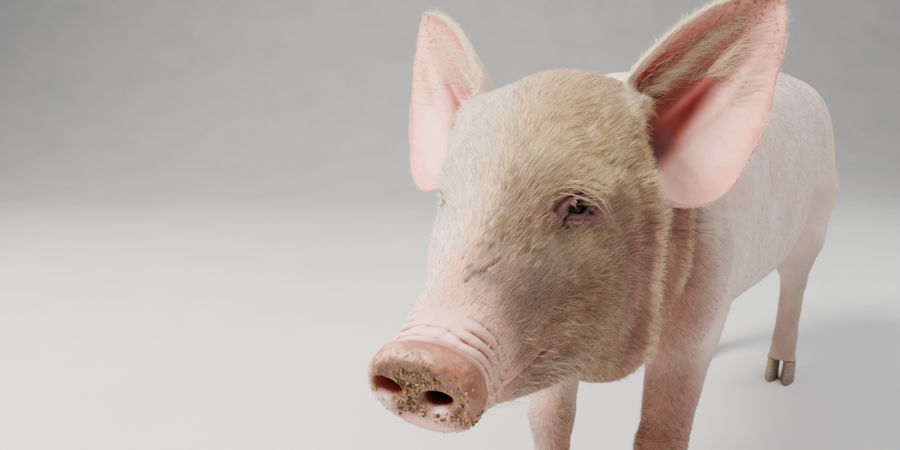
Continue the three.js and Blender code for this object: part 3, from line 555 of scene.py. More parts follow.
def skin(p):
    """Distance from each point, in millimetres, to the bare skin."""
    x, y, z = p.T
    side = np.abs(x)
    d = loft(y, x, z, TRUNK)
    for shape in (SHOULDER, HAM, BRISKET, LOIN):
        d = melt(d, muscle(side, y, z, shape), 46)
    for leg, part in ((FORELEG, (z < 480) & (y > -440) & (y < 60)), (HINDLEG, (z < 520) & (y >= 60))):
        if part.any():
            d[part] = melt(d[part], leg_flesh(side[part], y[part], z[part], leg), 22)
    fore = y < -180
    if fore.any():
        pf, df = p[fore], d[fore]
        t = np.clip((pf[:, 1] - NECK_FROM[1]) / (NECK_TO[1] - NECK_FROM[1]), 0, 1)[:, None]
        away = pf - (np.array(NECK_FROM) + (np.array(NECK_TO) - np.array(NECK_FROM)) * t)
        rho = np.maximum(np.linalg.norm(away / (NECK_HALF, 90, NECK_HIGH), axis=1), 1e-6)
        df = melt(df, np.linalg.norm(away, axis=1) * (1 - 1 / rho), 60)
        l, s, u = to_head(pf).T
        at_head = s < 420
        if at_head.any():
            lh, sh, uh = l[at_head], s[at_head], u[at_head]
            dh = melt(df[at_head], head_flesh(np.abs(lh), sh, uh), 36)
            close = (np.abs(dh) < DETAIL) | ((dh < 0) & (sh < 60))
            if close.any():
                lc, sc, uc = lh[close], sh[close], uh[close]
                smooth = dh[close] + COAT_DEPTH * ramp(10, 60, sc)
                dh[close] = face(lc, sc, uc, smooth + folds(lc, sc, uc)) - COAT_DEPTH
            df[at_head] = dh
        ears = (u > -70) & (s > 225)
        if ears.any():
            le, se, ue = np.abs(l[ears]), s[ears], u[ears]
            a, b, c = ear_coordinates(le, se, ue).T
            de = carve(df[ears] + COAT_DEPTH, ear_hollow(a, b, c), 9)
            df[ears] = melt(de, ear_skin(le, se, ue), 9) - COAT_DEPTH
        d[fore] = df
    rear = (y > 470) & (z > 380)
    if rear.any():
        d[rear] = melt(d[rear], tail_skin(x[rear], y[rear], z[rear]), 14)
    close = (np.abs(d) < DETAIL) & (y > -400)
    if close.any():
        xc, yc, zc = x[close], y[close], z[close]
        d[close] += body_folds(xc, yc, zc, side[close]) * ramp(-400, -330, yc)
    belly = (z < 330) & (side < 60) & (y > -250) & (y < 230)
    if belly.any():
        xb, yb, zb, db = side[belly], y[belly], z[belly], d[belly]
        for tx, ty in TEATS:
            floor = TRUNK["bottom"](ty) + 3
            db = melt(db, bone(xb, yb, zb, (tx, ty, floor + 6), (tx + 1, ty, floor - 7), 5.5, 3.6), 5)
        d[belly] = db
    return d + COAT_DEPTH


SLICE, CORES = 30000, 4


def measured(p):
    """skin() on many points, in slices shared over the processor's cores."""
    slices = np.array_split(np.arange(len(p)), max(1, len(p) // SLICE))
    with ThreadPoolExecutor(CORES) as pool:
        return np.concatenate(list(pool.map(lambda i: skin(p[i]), slices)))


# The mesh of the hide: a lattice two millimetres fine round head, ears and tail, and three times
# coarser on the body, then a corner in each cell that the skin passes.
CELL, BLOCK = 2.0, 3
LOW, HIGH = np.array([-246.0, -750.0, 4.0]), np.array([174.0, 606.0, 700.0])


def lattice_points(index, step):
    return LOW + index * step


def finer(values, times):
    """Fills a lattice in, straight from point to point, so that it is times as dense."""
    for axis in range(3):
        n = values.shape[axis]
        at = np.arange((n - 1) * times + 1) / times
        i = np.minimum(at.astype(int), n - 2)
        t = (at - i).astype(np.float32)
        shape = [1, 1, 1]
        shape[axis] = -1
        t = t.reshape(shape)
        values = np.take(values, i, axis) * (1 - t) + np.take(values, i + 1, axis) * t
    return values


def remeasure(values, step, band, where=None):
    """Replaces the lattice's values within band of the skin by measured ones."""
    index = np.argwhere(np.abs(values) < band)
    if where is not None:
        index = index[where(lattice_points(index, step))]
    values[tuple(index.T)] = measured(lattice_points(index, step))
    return values


def fine_zone(p):
    l, s, u = to_head(p).T
    ears = (s < 560) & (s > 200) & (ear_skin(np.abs(l), s, u) < 9)
    return (s < 285) | ears | ((p[:, 1] > 512) & (p[:, 2] > 400))


def lattice():
    wide = CELL * BLOCK * 2
    shape = np.ceil((HIGH - LOW) / wide).astype(int) + 1
    index = np.indices(shape).reshape(3, -1).T
    values = measured(lattice_points(index, wide)).reshape(shape).astype(np.float32)
    values = remeasure(finer(values, 2), wide / 2, band=13)
    return remeasure(finer(values, BLOCK), CELL, band=5, where=fine_zone)


def first_mesh():
    """Surface nets: a corner in each cell that the skin passes, and a quad round each edge it cuts."""
    values = lattice()
    inside = values < 0
    for axis in range(3):       # the outermost layer counts as outside
        inside[(slice(None),) * axis + (0,)] = False
        inside[(slice(None),) * axis + (-1,)] = False
    total = np.zeros(tuple(n - 1 for n in inside.shape), np.uint8)
    corners = [(a, b, c) for a in (0, 1) for b in (0, 1) for c in (0, 1)]
    nx, ny, nz = total.shape
    for a, b, c in corners:
        total += inside[a:a + nx, b:b + ny, c:c + nz]
    cells = np.argwhere((total > 0) & (total < 8))
    v = {c: values[tuple((cells + c).T)] for c in corners}
    into = {c: inside[tuple((cells + c).T)] for c in corners}
    place, count = np.zeros((len(cells), 3)), np.zeros(len(cells))
    for c in corners:
        for axis in range(3):
            if c[axis]:
                continue
            e = tuple(1 if n == axis else c[n] for n in range(3))
            cut = into[c] != into[e]
            gap = v[c] - v[e]
            t = np.where(cut, np.clip(v[c] / np.where(np.abs(gap) < 1e-9, 1e-9, gap), 0, 1), 0)
            step = np.array(c, float) + t[:, None] * (np.arange(3) == axis)
            place += step * cut[:, None]
            count += cut
    points = lattice_points(cells + place / count[:, None], CELL)
    number = np.full(total.shape, -1, np.int32)
    number[tuple(cells.T)] = np.arange(len(cells))
    quads = []
    for axis in range(3):
        ahead = np.roll(inside, -1, axis)
        cut = np.argwhere(inside != ahead)
        cut = cut[(cut[:, axis] < inside.shape[axis] - 1) & (cut.min(1) > 0)]
        first = inside[tuple(cut.T)]
        u, w = np.eye(3, dtype=int)[(axis + 1) % 3], np.eye(3, dtype=int)[(axis + 2) % 3]
        ring = np.stack([number[tuple((cut - o).T)] for o in (u + w, w, 0 * u, u)], axis=1)
        quads.append(np.where(first[:, None], ring, ring[:, ::-1]))
    quads = np.concatenate(quads)
    # outside the fine zone the corners of each block become one
    blocks = cells // BLOCK
    coarse = ~fine_zone(lattice_points(blocks * BLOCK + BLOCK / 2, CELL))
    key = np.where(coarse, (blocks[:, 0] * 4096 + blocks[:, 1]) * 4096 + blocks[:, 2],
                   -1 - np.arange(len(cells)))
    _, group = np.unique(key, return_inverse=True)
    group = group.ravel()
    members = np.bincount(group)
    points = np.stack([np.bincount(group, points[:, n]) / members for n in range(3)], axis=1)
    quads = group[quads]
    triangles = np.concatenate([quads[:, [0, 1, 2]], quads[:, [0, 2, 3]]])
    return tidy(points, triangles)


def tidy(points, triangles):
    """Drops triangles without area, those that lie face to face, and corners that none uses."""
    a, b, c = triangles.T
    triangles = triangles[(a != b) & (b != c) & (c != a)]
    ordered = np.sort(triangles, axis=1)
    _, group, many = np.unique(ordered, axis=0, return_inverse=True, return_counts=True)
    triangles = triangles[many[group.ravel()] == 1]
    used, triangles = np.unique(triangles, return_inverse=True)
    return points[used], triangles.reshape(-1, 3)


def settle(points, turns, limit, probe=0.4):
    """Moves each point along the field's slope onto the skin. limit is the most that one turn moves
    it, probe the distance over which the slope is taken."""
    for _ in range(turns):
        d = measured(points)
        slope = np.stack([measured(points + probe * step) - d for step in np.eye(3)], axis=1) / probe
        step = d / np.maximum((slope**2).sum(1), 0.25)
        points = points - np.clip(step, -limit, limit)[:, None] * slope
    return points


def edges_of(triangles):
    return np.concatenate([triangles[:, [0, 1]], triangles[:, [1, 2]], triangles[:, [2, 0]]])


def evened(points, triangles, turns, share=0.5):
    """Moves each point towards the middle of its neighbours, along the skin."""
    edges = edges_of(triangles)
    n = len(points)
    for _ in range(turns):
        total = np.stack([np.bincount(edges[:, 0], points[edges[:, 1], k], n)
                          + np.bincount(edges[:, 1], points[edges[:, 0], k], n) for k in range(3)], axis=1)
        count = np.bincount(edges.ravel(), minlength=n)
        move = total / np.maximum(count, 1)[:, None] - points
        normal = normals_of(points, triangles)
        move -= normal * (move * normal).sum(1)[:, None]
        points = points + share * move
    return points


def normals_of(points, triangles):
    a, b, c = (points[triangles[:, k]] for k in range(3))
    face = np.cross(b - a, c - a)
    total = np.stack([sum(np.bincount(triangles[:, k], face[:, n], len(points)) for k in range(3))
                      for n in range(3)], axis=1)
    return total / np.maximum(np.linalg.norm(total, axis=1), 1e-12)[:, None]


def wanted_edge(p):
    """How long the mesh's edges may be at each point."""
    l, s, u = to_head(p).T
    side = np.abs(l)
    size = np.full(len(p), 9.0)
    snout, bridge = (s < 56) & (side < 50), (s > 60) & (s < 142) & (l > -14) & (l < 42) & (u > 10)
    mouth = (s > 10) & (s < 130) & (np.abs(u - mouth_height(s)) < 9) & (side < 70)
    eye = np.linalg.norm(eye_coordinates(side, s, u), axis=1)
    teat = np.min([np.hypot(np.abs(p[:, 0]) - tx, p[:, 1] - ty) for tx, ty in TEATS], axis=0)
    for edge, here in ((3.6, s < 335), (1.15, snout), (1.7, bridge), (1.7, mouth), (1.5, eye < 36),
                       (0.9, eye < 20), (1.8, (teat < 16) & (p[:, 2] < 310))):
        size[here] = edge
    return np.where(p[:, 2] < 100, np.minimum(size, 5.0), size)


def refined(points, triangles):
    """Splits each edge that is longer than wanted, and the triangles beside it."""
    pairs, back = np.unique(np.sort(edges_of(triangles), axis=1), axis=0, return_inverse=True)
    back = back.ravel()
    middle = (points[pairs[:, 0]] + points[pairs[:, 1]]) / 2
    length = np.linalg.norm(points[pairs[:, 0]] - points[pairs[:, 1]], axis=1)
    split = length > wanted_edge(middle) * 1.25
    number = np.where(split, len(points) + np.cumsum(split) - 1, -1)
    points = np.concatenate([points, middle[split]])
    m = len(triangles)
    ab, bc, ca = (number[back[k * m:(k + 1) * m]] for k in range(3))
    a, b, c = triangles.T
    cuts = (ab >= 0).astype(int) + (bc >= 0) + (ca >= 0)
    found = [triangles[cuts == 0]]
    whole = cuts == 3
    for corner in ((a, ab, ca), (b, bc, ab), (c, ca, bc), (ab, bc, ca)):
        found.append(np.stack(corner, axis=1)[whole])
    for p, q, r, pq, qr, rp in ((a, b, c, ab, bc, ca), (b, c, a, bc, ca, ab), (c, a, b, ca, ab, bc)):
        one = (cuts == 1) & (pq >= 0)
        found += [rows(p, pq, r)[one], rows(pq, q, r)[one]]
        two = (cuts == 2) & (rp < 0)
        found += [rows(pq, q, qr)[two], rows(p, pq, r)[two], rows(pq, qr, r)[two]]
    return points, np.concatenate(found), split.sum()


def skin_mesh():
    points, triangles = first_mesh()
    points = settle(points, turns=2, limit=2.0)
    points = settle(evened(points, triangles, turns=3), turns=1, limit=2.0)
    for _ in range(3):
        points, triangles, cuts = refined(points, triangles)
        if cuts == 0:
            break
        points = settle(evened(points, triangles, turns=1, share=0.3), turns=1, limit=1.0)
    return settle(points, turns=2, limit=0.6), triangles


def made(name, points, triangles, smooth=True):
    """A mesh object from points in millimetres, moved into the frame of the whole model."""
    mesh = bpy.data.meshes.new(name)
    mesh.vertices.add(len(points))
    mesh.vertices.foreach_set("co", ((points + SHIFT) * 0.001).astype(np.float32).ravel())
    mesh.loops.add(triangles.size)
    mesh.loops.foreach_set("vertex_index", triangles.astype(np.int32).ravel())
    mesh.polygons.add(len(triangles))
    mesh.polygons.foreach_set("loop_start", np.arange(0, triangles.size, 3, dtype=np.int32))
    mesh.polygons.foreach_set("loop_total", np.full(len(triangles), 3, np.int32))
    mesh.update(calc_edges=True)
    if smooth:
        mesh.shade_smooth()
    piece = bpy.data.objects.new(name, mesh)
    bpy.context.scene.collection.objects.link(piece)
    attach(piece, "root")
    return piece


def paint(piece, name, values):
    """Keeps a colour, or a share from 0 to 1, at each corner point of a piece."""
    values = np.asarray(values, np.float32)
    if values.ndim == 1:
        piece.data.attributes.new(name, "FLOAT", "POINT").data.foreach_set("value", values)
    else:
        rgba = np.concatenate([values, np.ones((len(values), 1), np.float32)], axis=1)
        piece.data.attributes.new(name, "FLOAT_COLOR", "POINT").data.foreach_set("color", rgba.ravel())


def rgb(r, g, b):
    """A colour from its everyday 0 to 255 numbers to the linear ones that a shader takes."""
    c = np.array([r, g, b]) / 255
    return np.where(c <= 0.04045, c / 12.92, ((c + 0.055) / 1.055) ** 2.4)


def towards(colour, other, share):
    return colour + (other - colour) * np.asarray(share)[..., None]


class Wire:
    """A shader socket that takes part in Python sums: each sign adds the Math node for it."""
    tree = None

    def __init__(self, socket):
        self.socket = socket

    @staticmethod
    def join(value, socket):
        if isinstance(value, Wire):
            Wire.tree.links.new(value.socket, socket)
        else:
            socket.default_value = value

    @staticmethod
    def node(kind, settings=None, out=0, **values):
        """Any node: settings are set first, then values or wires go into its sockets, by name or as
        _ and a number."""
        made_node = Wire.tree.nodes.new(kind)
        for key, value in (settings or {}).items():
            setattr(made_node, key, value)
        for key, value in values.items():
            key = int(key[1:]) if key[0] == "_" else key.replace("_", " ")
            Wire.join(value, made_node.inputs[key])
        return Wire(made_node.outputs[out])

    @staticmethod
    def math(operation, a, b=0.0):
        return Wire.node("ShaderNodeMath", dict(operation=operation), _0=a, _1=b)

    def __add__(self, other):
        return Wire.math("ADD", self, other)

    def __radd__(self, other):
        return Wire.math("ADD", other, self)

    def __sub__(self, other):
        return Wire.math("SUBTRACT", self, other)

    def __rsub__(self, other):
        return Wire.math("SUBTRACT", other, self)

    def __mul__(self, other):
        return Wire.math("MULTIPLY", self, other)

    def __rmul__(self, other):
        return Wire.math("MULTIPLY", other, self)

    def clear(self):
        return Wire.node("ShaderNodeClamp", _0=self)

    def steps(self, low, high):
        """Runs smoothly from 0 at low to 1 at high."""
        return Wire.node("ShaderNodeMapRange", dict(interpolation_type="SMOOTHSTEP"), Value=self,
                         From_Min=low, From_Max=high)

    def blend(self, colour, other):
        """From colour to other as this share goes from 0 to 1."""
        return Wire.node("ShaderNodeMix", dict(data_type="RGBA"), 2, _0=self, _6=colour, _7=other)

    def times(self, colour):
        """This colour multiplied by another one."""
        return Wire.node("ShaderNodeMix", dict(data_type="RGBA", blend_type="MULTIPLY"), 2, _0=1.0, _6=self,
                         _7=colour)


def finish_material(name, build):
    """A material whose Principled shader gets the sockets that build() returns by name."""
    material = bpy.data.materials.new(name)
    material.use_nodes = True
    Wire.tree = material.node_tree
    shader = material.node_tree.nodes["Principled BSDF"]
    for key, value in build().items():
        Wire.join(value, shader.inputs[key])
    return material


def place():
    return Wire.node("ShaderNodeTexCoord", out="Object")


def noise(scale, detail=2.0, rough=0.5, at=None):
    at = at or place()
    return Wire.node("ShaderNodeTexNoise", Vector=at, Scale=scale, Detail=detail, Roughness=rough)


def cells(scale, at):
    """Distance to the nearest of many scattered points."""
    return Wire.node("ShaderNodeTexVoronoi", dict(feature="F1"), "Distance", Vector=at, Scale=scale)


def kept(name, out="Color"):
    return Wire.node("ShaderNodeAttribute", dict(attribute_name=name), out)


def bump(height, distance, strength=1.0):
    return Wire.node("ShaderNodeBump", Height=height, Distance=distance, Strength=strength)


skin_points, skin_triangles = skin_mesh()
skin_normals = normals_of(skin_points, skin_triangles)


def sunken(points, triangles, normals, reach=2.2):
    """1 in the bottom of folds, -1 on their crests."""
    edges = edges_of(triangles)
    a, b = points[edges[:, 0]], points[edges[:, 1]]
    apart = np.maximum(np.linalg.norm(b - a, axis=1), 0.2)
    bent = ((b - a) * normals[edges[:, 0]]).sum(1) / apart**2
    count = np.maximum(np.bincount(edges[:, 0], minlength=len(points)), 1)
    value = np.bincount(edges[:, 0], bent, len(points)) / count * reach * 2
    for _ in range(3):
        value = 0.4 * value + 0.6 * np.bincount(edges[:, 0], value[edges[:, 1]], len(points)) / count
    return np.clip(value * 2.0, -1, 1)


BODY, PALE, WARM, GREY_PINK = rgb(234, 212, 200), rgb(206, 156, 136), rgb(184, 120, 102), rgb(114, 72, 66)
BARE, DISC, DISC_RIM, EARTH = rgb(238, 190, 178), rgb(124, 80, 58), rgb(192, 140, 112), rgb(150, 120, 92)
EAR_PINK, EAR_DEEP, EAR_EDGE = rgb(236, 150, 136), rgb(132, 16, 12), rgb(176, 100, 82)
LID_PINK, LID_RIM, TEAR = rgb(92, 50, 48), rgb(46, 26, 22), rgb(40, 22, 18)


def bridge_side(side, s, u):
    """Where grey-brown soil rubs off on the sides of the bridge of the nose."""
    return ramp(60, 36, side) * ramp(50, 80, s) * ramp(190, 150, s) * ramp(-30, 4, u)


def ear_across(a, b):
    """-1 at the ear's front edge, 1 at its rear one."""
    front, rear = ear_front(a), ear_rear(a)
    return (2 * b - front - rear) / np.maximum(rear - front, 1)


def ear_middle(a, b):
    """The height of the middle of the ear's sheet, from the nearest point of its map."""
    i, j = (np.clip(x + off, 0, n - 1).astype(int) for x, off, n in zip((a, b), EAR_MAP_OFF, EAR_MAP.shape))
    return (EAR_MAP[i, j, 0] + EAR_MAP[i, j, 1]) / 2


def ear_root_patch(side, s, u):
    """The pale skin in front of each ear's root."""
    return bell(np.sqrt((side - 76) ** 2 + (s - 270) ** 2 + ((u - 84) * 0.8) ** 2), 24)


def markings_shade_and_light(p):
    """The skin's colour at each point, with painted shade and painted light laid in, the same for the hide
    and for the roots of its hairs.
    """
    q = to_head(p)
    l, s, u = q.T
    side = np.abs(l)
    broad, small = lumps(p, 34.0), lumps(p + 7, 9.0)
    colour = towards(BODY, WARM, 0.17 + 0.17 * broad)

    def wash(tone, share):
        """Lays a tone over the colour so far, as strongly as its share says."""
        nonlocal colour
        colour = towards(colour, tone, share)

    head = ramp(345, 290, s)
    wash(towards(PALE, WARM, 0.35 + 0.3 * broad), head)
    wash(rgb(238, 204, 188), 0.9 * head * ramp(-2, -34, l))      # the right side, the lit one, painted paler: painted light
    # cheeks and throat are a greyer pink, strongest on the left side, partly their own colour and partly
    # painted shade; the folds of the neck behind the jowl are painted browner, painted shade
    wash(GREY_PINK, 0.8 * head * ramp(40, 0, u) * ramp(34, 80, s) * ramp(-30, 30, l))
    wash(GREY_PINK, 0.3 * head * ramp(36, 0, u) * ramp(30, 60, s) * ramp(30, -30, l))
    wash(rgb(140, 86, 76), 0.8 * ramp(240, 258, s) * ramp(330, 290, s) * ramp(50, 0, u))
    # folds are painted dark at the bottom as painted shade and light on their crests as painted highlight;
    # the short furrows on the bridge are painted dark with soil and painted shade
    relief = folds(l, s, u) * ramp(-300, -360, p[:, 1])
    wash(rgb(112, 58, 44), 0.85 * ramp(1.6, 5.0, relief))
    wash(rgb(222, 182, 146), 0.55 * ramp(-1.6, -4.6, relief))
    wash(rgb(78, 52, 42), 0.8 * ramp(0.2, 0.8, bridge_furrows(l, s, u)) * head)
    wash(rgb(240, 200, 182), 0.8 * ear_root_patch(side, s, u))
    # the belly and the insides of the legs, and the soiled feet
    wash(GREY_PINK, 0.45 * ramp(330, 270, p[:, 2]) * (1 - head))
    wash(EARTH, 0.35 * ramp(180, 50, p[:, 2]) + 0.12 * ramp(0.2, 0.8, small) * ramp(220, 90, p[:, 2]))
    # the bare skin behind the snout's disc, with red wrinkles whose grooves are painted darker, partly
    # painted shade
    wash(BARE, ramp(52, 26, s + 7 * broad) * ramp(8, 14, s))
    rings, over, along, _ = snout_wrinkles(l, s, u)
    wash(rgb(160, 88, 72), np.clip(1.1 * rings + 0.7 * over + 0.7 * along, 0, 1) * ramp(9, 14, s))
    wash(rgb(214, 166, 142), 0.5 * ramp(20, 34, s + 5 * small) * ramp(66, 44, s))
    at_left = ramp(9, 16, s) * ramp(64, 44, s) * ramp(-6, 16, l + 6 * small) * ramp(30, 14, u)
    wash(rgb(196, 146, 124), 0.6 * at_left)
    # grey-brown soil on the sides of the bridge
    soiled = ramp(-2, 14, l + 8 * broad) * bridge_side(side, s, u)
    wash(rgb(98, 76, 64), np.clip(soiled * (0.7 + 0.5 * small), 0, 1))
    # lids, eye rims and the stain below the inner corner; the skin round each eye is painted a dark purple,
    # partly its own colour and partly painted shade, more so round the left eye
    across, above, out = eye_coordinates(side, s, u).T
    ring, _ = lid_ring(across, above)
    at_eye = (out > -4) & (out < 24)
    wash(rgb(128, 88, 84), (0.55 + 0.35 * (l > 0)) * ramp(5.6, 3.4, ring + 0.6 * small) * at_eye)
    wash(LID_PINK, 0.9 * ramp(2.6, 1.5, ring + 0.4 * small) * at_eye)
    wash(LID_RIM, 0.9 * ramp(1.4, 1.1, ring) * at_eye)
    wash(TEAR, ramp(2.3, 1.0, tear_marks(across, above) + 0.5 * small) * at_eye)
    stain = bone(across, above, out, (-16, -12, 3), (-20, -30, -6))
    wash(rgb(196, 160, 110), 0.4 * ramp(9, 2, stain + 3 * small) * at_eye)
    # the lips
    at_mouth = ramp(20, 34, s) * ramp(132, 118, s) * (side < 72)
    wash(rgb(132, 76, 66), 0.6 * ramp(5, 1.2, np.abs(u - mouth_height(s))) * at_mouth)
    # the ears: pink, red deep inside, browner towards edge and tip, with veins and freckles; the deep red in
    # the cup is partly painted shade, and the near black by the canal is painted shade
    a, b, c = ear_coordinates(side, s, u).T
    v, middle = ear_across(a, b), ear_middle(a, b)
    # the head's skin in the ear's hollow takes the ear's colours, with the painted shade of the cup
    hollowed = (ear_hollow(a, b, c) < 2.5) & (c < 34) & (s > 200) & (c > middle)
    in_ear = (a > -24) & (np.abs(c - middle) < 11) & (np.abs(v) < 1.2) & (s > 225) & (s < 560)
    inner = (in_ear & (c > middle)) | hollowed
    in_ear = in_ear | hollowed
    reach = ramp(-24, -8, a) * in_ear
    wash(EAR_PINK, 0.85 * reach)
    wash(rgb(244, 184, 172), reach * inner * ramp(-0.05, 0.4, v) * ramp(190, 90, a) * 0.85)
    wash(rgb(232, 138, 120), reach * inner * ramp(0.62, 0.98, v + 0.1 * small) * 0.7)
    vein = bell(lumps(p + 71, 16.0) + 0.25 * small, 0.06)
    wash(rgb(206, 104, 96), reach * inner * vein * 0.2)
    # the cup's deep red, partly its own colour and partly painted shade
    hollow = ramp(0.36, 0.02, v + 0.06 * broad) * ramp(-1.0, -0.8, v) * ramp(190, 70, a)
    wash(rgb(186, 118, 100), inner * reach * ramp(100, 165, a) * ramp(0.7, -0.2, v + 0.4 * broad) * 0.7)
    wash(EAR_DEEP, np.clip(inner * reach * hollow * (1.05 + 0.2 * broad), 0, 1))
    crest = np.maximum(bell(v + 0.66 - 0.0012 * a, 0.07), bell(v + 0.3 - 0.0021 * a, 0.08))
    wash(rgb(214, 124, 108), inner * reach * crest * ramp(30, 90, a) * 0.6)
    # painted shade, near black, at the mouth of the canal
    wash(rgb(64, 12, 8), inner * ramp(60, 16, a) * ramp(0.34, 0.0, v) * 0.9)
    rim = ramp(0.84, 0.97, np.abs(v)) + ramp(196, 226, a)
    wash(EAR_EDGE, in_ear * np.clip(rim, 0, 1) * (0.6 + 0.3 * small) * ramp(30, 80, a))
    crowded = ramp(-0.2, 0.4, lumps(p, 22.0) + ramp(120, 210, a)) * ramp(70, 170, a)
    wash(rgb(96, 52, 42), ramp(0.32, 0.5, lumps(p + 31, 2.2)) * crowded * in_ear * 0.8)
    wash(rgb(232, 200, 184), in_ear * ~inner * reach * 0.6)
    # the disc of the snout: brown and mottled, with a redder groove inside its rim
    dl, du = snout_coordinates(l, u)
    rho = snout_rho(dl, du)
    disc = ramp(13.5, 11.5, s) * (rho < 1.3)
    wash(DISC_RIM, disc)
    mottle = lumps(p + 13, 5.0) + 0.7 * lumps(p + 23, 2.4)
    wash(rgb(130, 84, 60), disc * ramp(-0.5, 0.5, 0.7 * small + 0.8 * broad + 0.8 * mottle) * 0.85)
    wash(rgb(96, 50, 34), disc * bell(rho - 0.84 - 0.03 * small, 0.08) * ramp(-25, 15, dl) * 0.9)
    upper_left = ramp(-6, 16, dl + 6 * small) * ramp(-8, 4, du) * ramp(0.8, 0.9, rho)
    wash(rgb(126, 74, 52), disc * upper_left * 0.8)
    # painted shadow in the gap just behind the rim, most on the left side
    behind_rim = ramp(9, 12, s) * ramp(19, 14, s + small) * ramp(-16, 10, dl) * ramp(-20, 0, du)
    wash(rgb(120, 70, 54), behind_rim * 0.8)
    wash(DISC, disc * ramp(0.94, 0.80, rho + 0.07 * small))
    wash(rgb(84, 52, 36), disc * ramp(0.9, 0.7, rho) * ramp(-0.3, 0.5, mottle) * 0.75)
    # pink below the nostrils and at the lip, red inside them and darker in the left one, and painted black
    # deeper in as painted shade
    below = nostril_ring(dl + 4 * np.sign(-dl), du + 12) + 0.15 * small
    wash(rgb(232, 184, 176), disc * ramp(1.3, 0.6, below) * 0.8)
    wash(rgb(212, 156, 142), disc * ramp(-13, -23, du + 3 * small) * 0.85)
    hole = nostril_ring(dl, du + 0.15 * np.maximum(s, 0))
    inside = ramp(1.06, 0.9, hole) * ramp(-2.0, 1.5, s) * (s < 40)
    wash(rgb(104, 40, 30), inside * ramp(-12, -2, dl))
    wash(rgb(156, 66, 56), inside * ramp(-2, -12, dl))
    wash(rgb(34, 14, 12), inside * ramp(4, 15, s + 5 * ramp(-12, 0, dl)))
    return colour


def crumbs(p):
    """Where dried earth clings: most round the nostrils, less on the feet."""
    l, s, u = to_head(p).T
    dl, du = snout_coordinates(l, u)
    rho = snout_rho(dl, du)
    on_disc = ramp(12, 8, s) * (rho < 1.2) * ramp(-26, -8, du) * ramp(1.02, 0.8, rho + 0.12 * lumps(p, 7.0))
    pink = ramp(1.2, 0.8, nostril_ring(dl + 4 * np.sign(-dl), du + 12))
    rim = ramp(13, 9, s) * (rho < 1.3) * ramp(-20, 4, du) * (0.25 + 0.35 * lumps(p + 60, 14.0))
    clean = (1 - 0.8 * pink) * ramp(1.0, 1.25, nostril_ring(dl, du)) * (0.72 + 0.4 * lumps(p + 80, 11.0))
    middle = 0.5 * bell(np.hypot(dl + 7, du - 5), 9)
    snout = np.clip(np.maximum(on_disc * clean + middle * on_disc, rim), 0, 1.3)
    return snout + 0.5 * ramp(70, 30, p[:, 2])


hide = made("hide", skin_points, skin_triangles)
# how deep each point lies in a fold, for the painted shade in the bottoms of folds
crease_shade = sunken(skin_points, skin_triangles, skin_normals)
paint(hide, "tint", markings_shade_and_light(skin_points))
paint(hide, "crease_shade", crease_shade)
paint(hide, "crumbs", crumbs(skin_points))
skin_head = to_head(skin_points)
paint(hide, "wet", ramp(13, 9, skin_head[:, 1]) * (np.abs(skin_head[:, 0]) < 45))


def hide_sockets():
    at = place()
    tint, hollow, dirt, wet = kept("tint"), *(kept(name, "Fac") for name in ("crease_shade", "crumbs", "wet"))
    mottle, pores, grain = noise(38.0, 4.0, 0.6, at), noise(900.0, 3.0, 0.6, at), noise(260.0, 5.0, 0.7, at)
    pebbles, lump, coarse = cells(620.0, at), cells(480.0, at), cells(230.0, at)
    colour = ((mottle - 0.42) * 1.5).clear().blend(tint, tint.times((0.9, 0.7, 0.66, 1)))
    # painted shade: the colour darkens in the bottoms of folds
    colour = (hollow.steps(0.12, 0.9) * 0.85).blend(colour, colour.times((0.42, 0.24, 0.2, 1)))
    speck = (dirt * 0.7 - lump * 0.9 - coarse * 0.6 + grain * 0.7).steps(0.02, 0.3) * dirt.steps(0.02, 0.4)
    clod = (noise(700.0, 3.0, 0.6, at) * 1.2 - lump * 0.5).steps(0.2, 0.55)
    colour = speck.blend(colour, clod.blend((0.06, 0.03, 0.014, 1), (0.30, 0.17, 0.08, 1)))
    height = pores * 0.25 + grain * 0.35 + (1 - pebbles) * 0.4 + speck * 1.6
    return {"Base Color": colour, "Roughness": 0.64 - wet * 0.12 + speck * 0.3 - pores * 0.08,
            "Normal": bump(height, 0.0006, 0.6), "Subsurface Weight": 0.12,
            "Subsurface Radius": (0.006, 0.0026, 0.0016), "Subsurface Scale": 1.0, "Specular IOR Level": 0.42}


hide.data.materials.append(finish_material("pig_hide", hide_sockets))
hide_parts("head", "lower_jaw", "snout_disc", "ear_left", "ear_right", "neck", "torso", "tail",
            "foreleg_left", "foreleg_right", "hindleg_left", "hindleg_right")


# ---- The coat --------------------------------------------------------------------------------
# Straw-coloured bristles, thick on brow and cheeks, fine and whitish on the body, almost none on
# snout, lids and lower ear. Each is a slim tapering prism rooted a little under the skin.
luck = np.random.default_rng(11)
STRAW, FAIR, WHITE, SHADE = rgb(255, 226, 172), rgb(255, 240, 212), rgb(255, 248, 238), rgb(106, 70, 48)
ROOT_DEPTH = 0.3                    # how far a bristle starts under the skin
THICKNESS = (0.58, 0.54, 0.36)      # radius at root, middle and near the tip, as shares of the width
PATCH = 0.003                       # side of each bristle's patch on the unwrapped skin
triangle_corners = skin_points[skin_triangles]
triangle_middle = triangle_corners.mean(1)
triangle_area = np.linalg.norm(np.cross(triangle_corners[:, 1] - triangle_corners[:, 0],
                                        triangle_corners[:, 2] - triangle_corners[:, 0]), axis=1) / 2


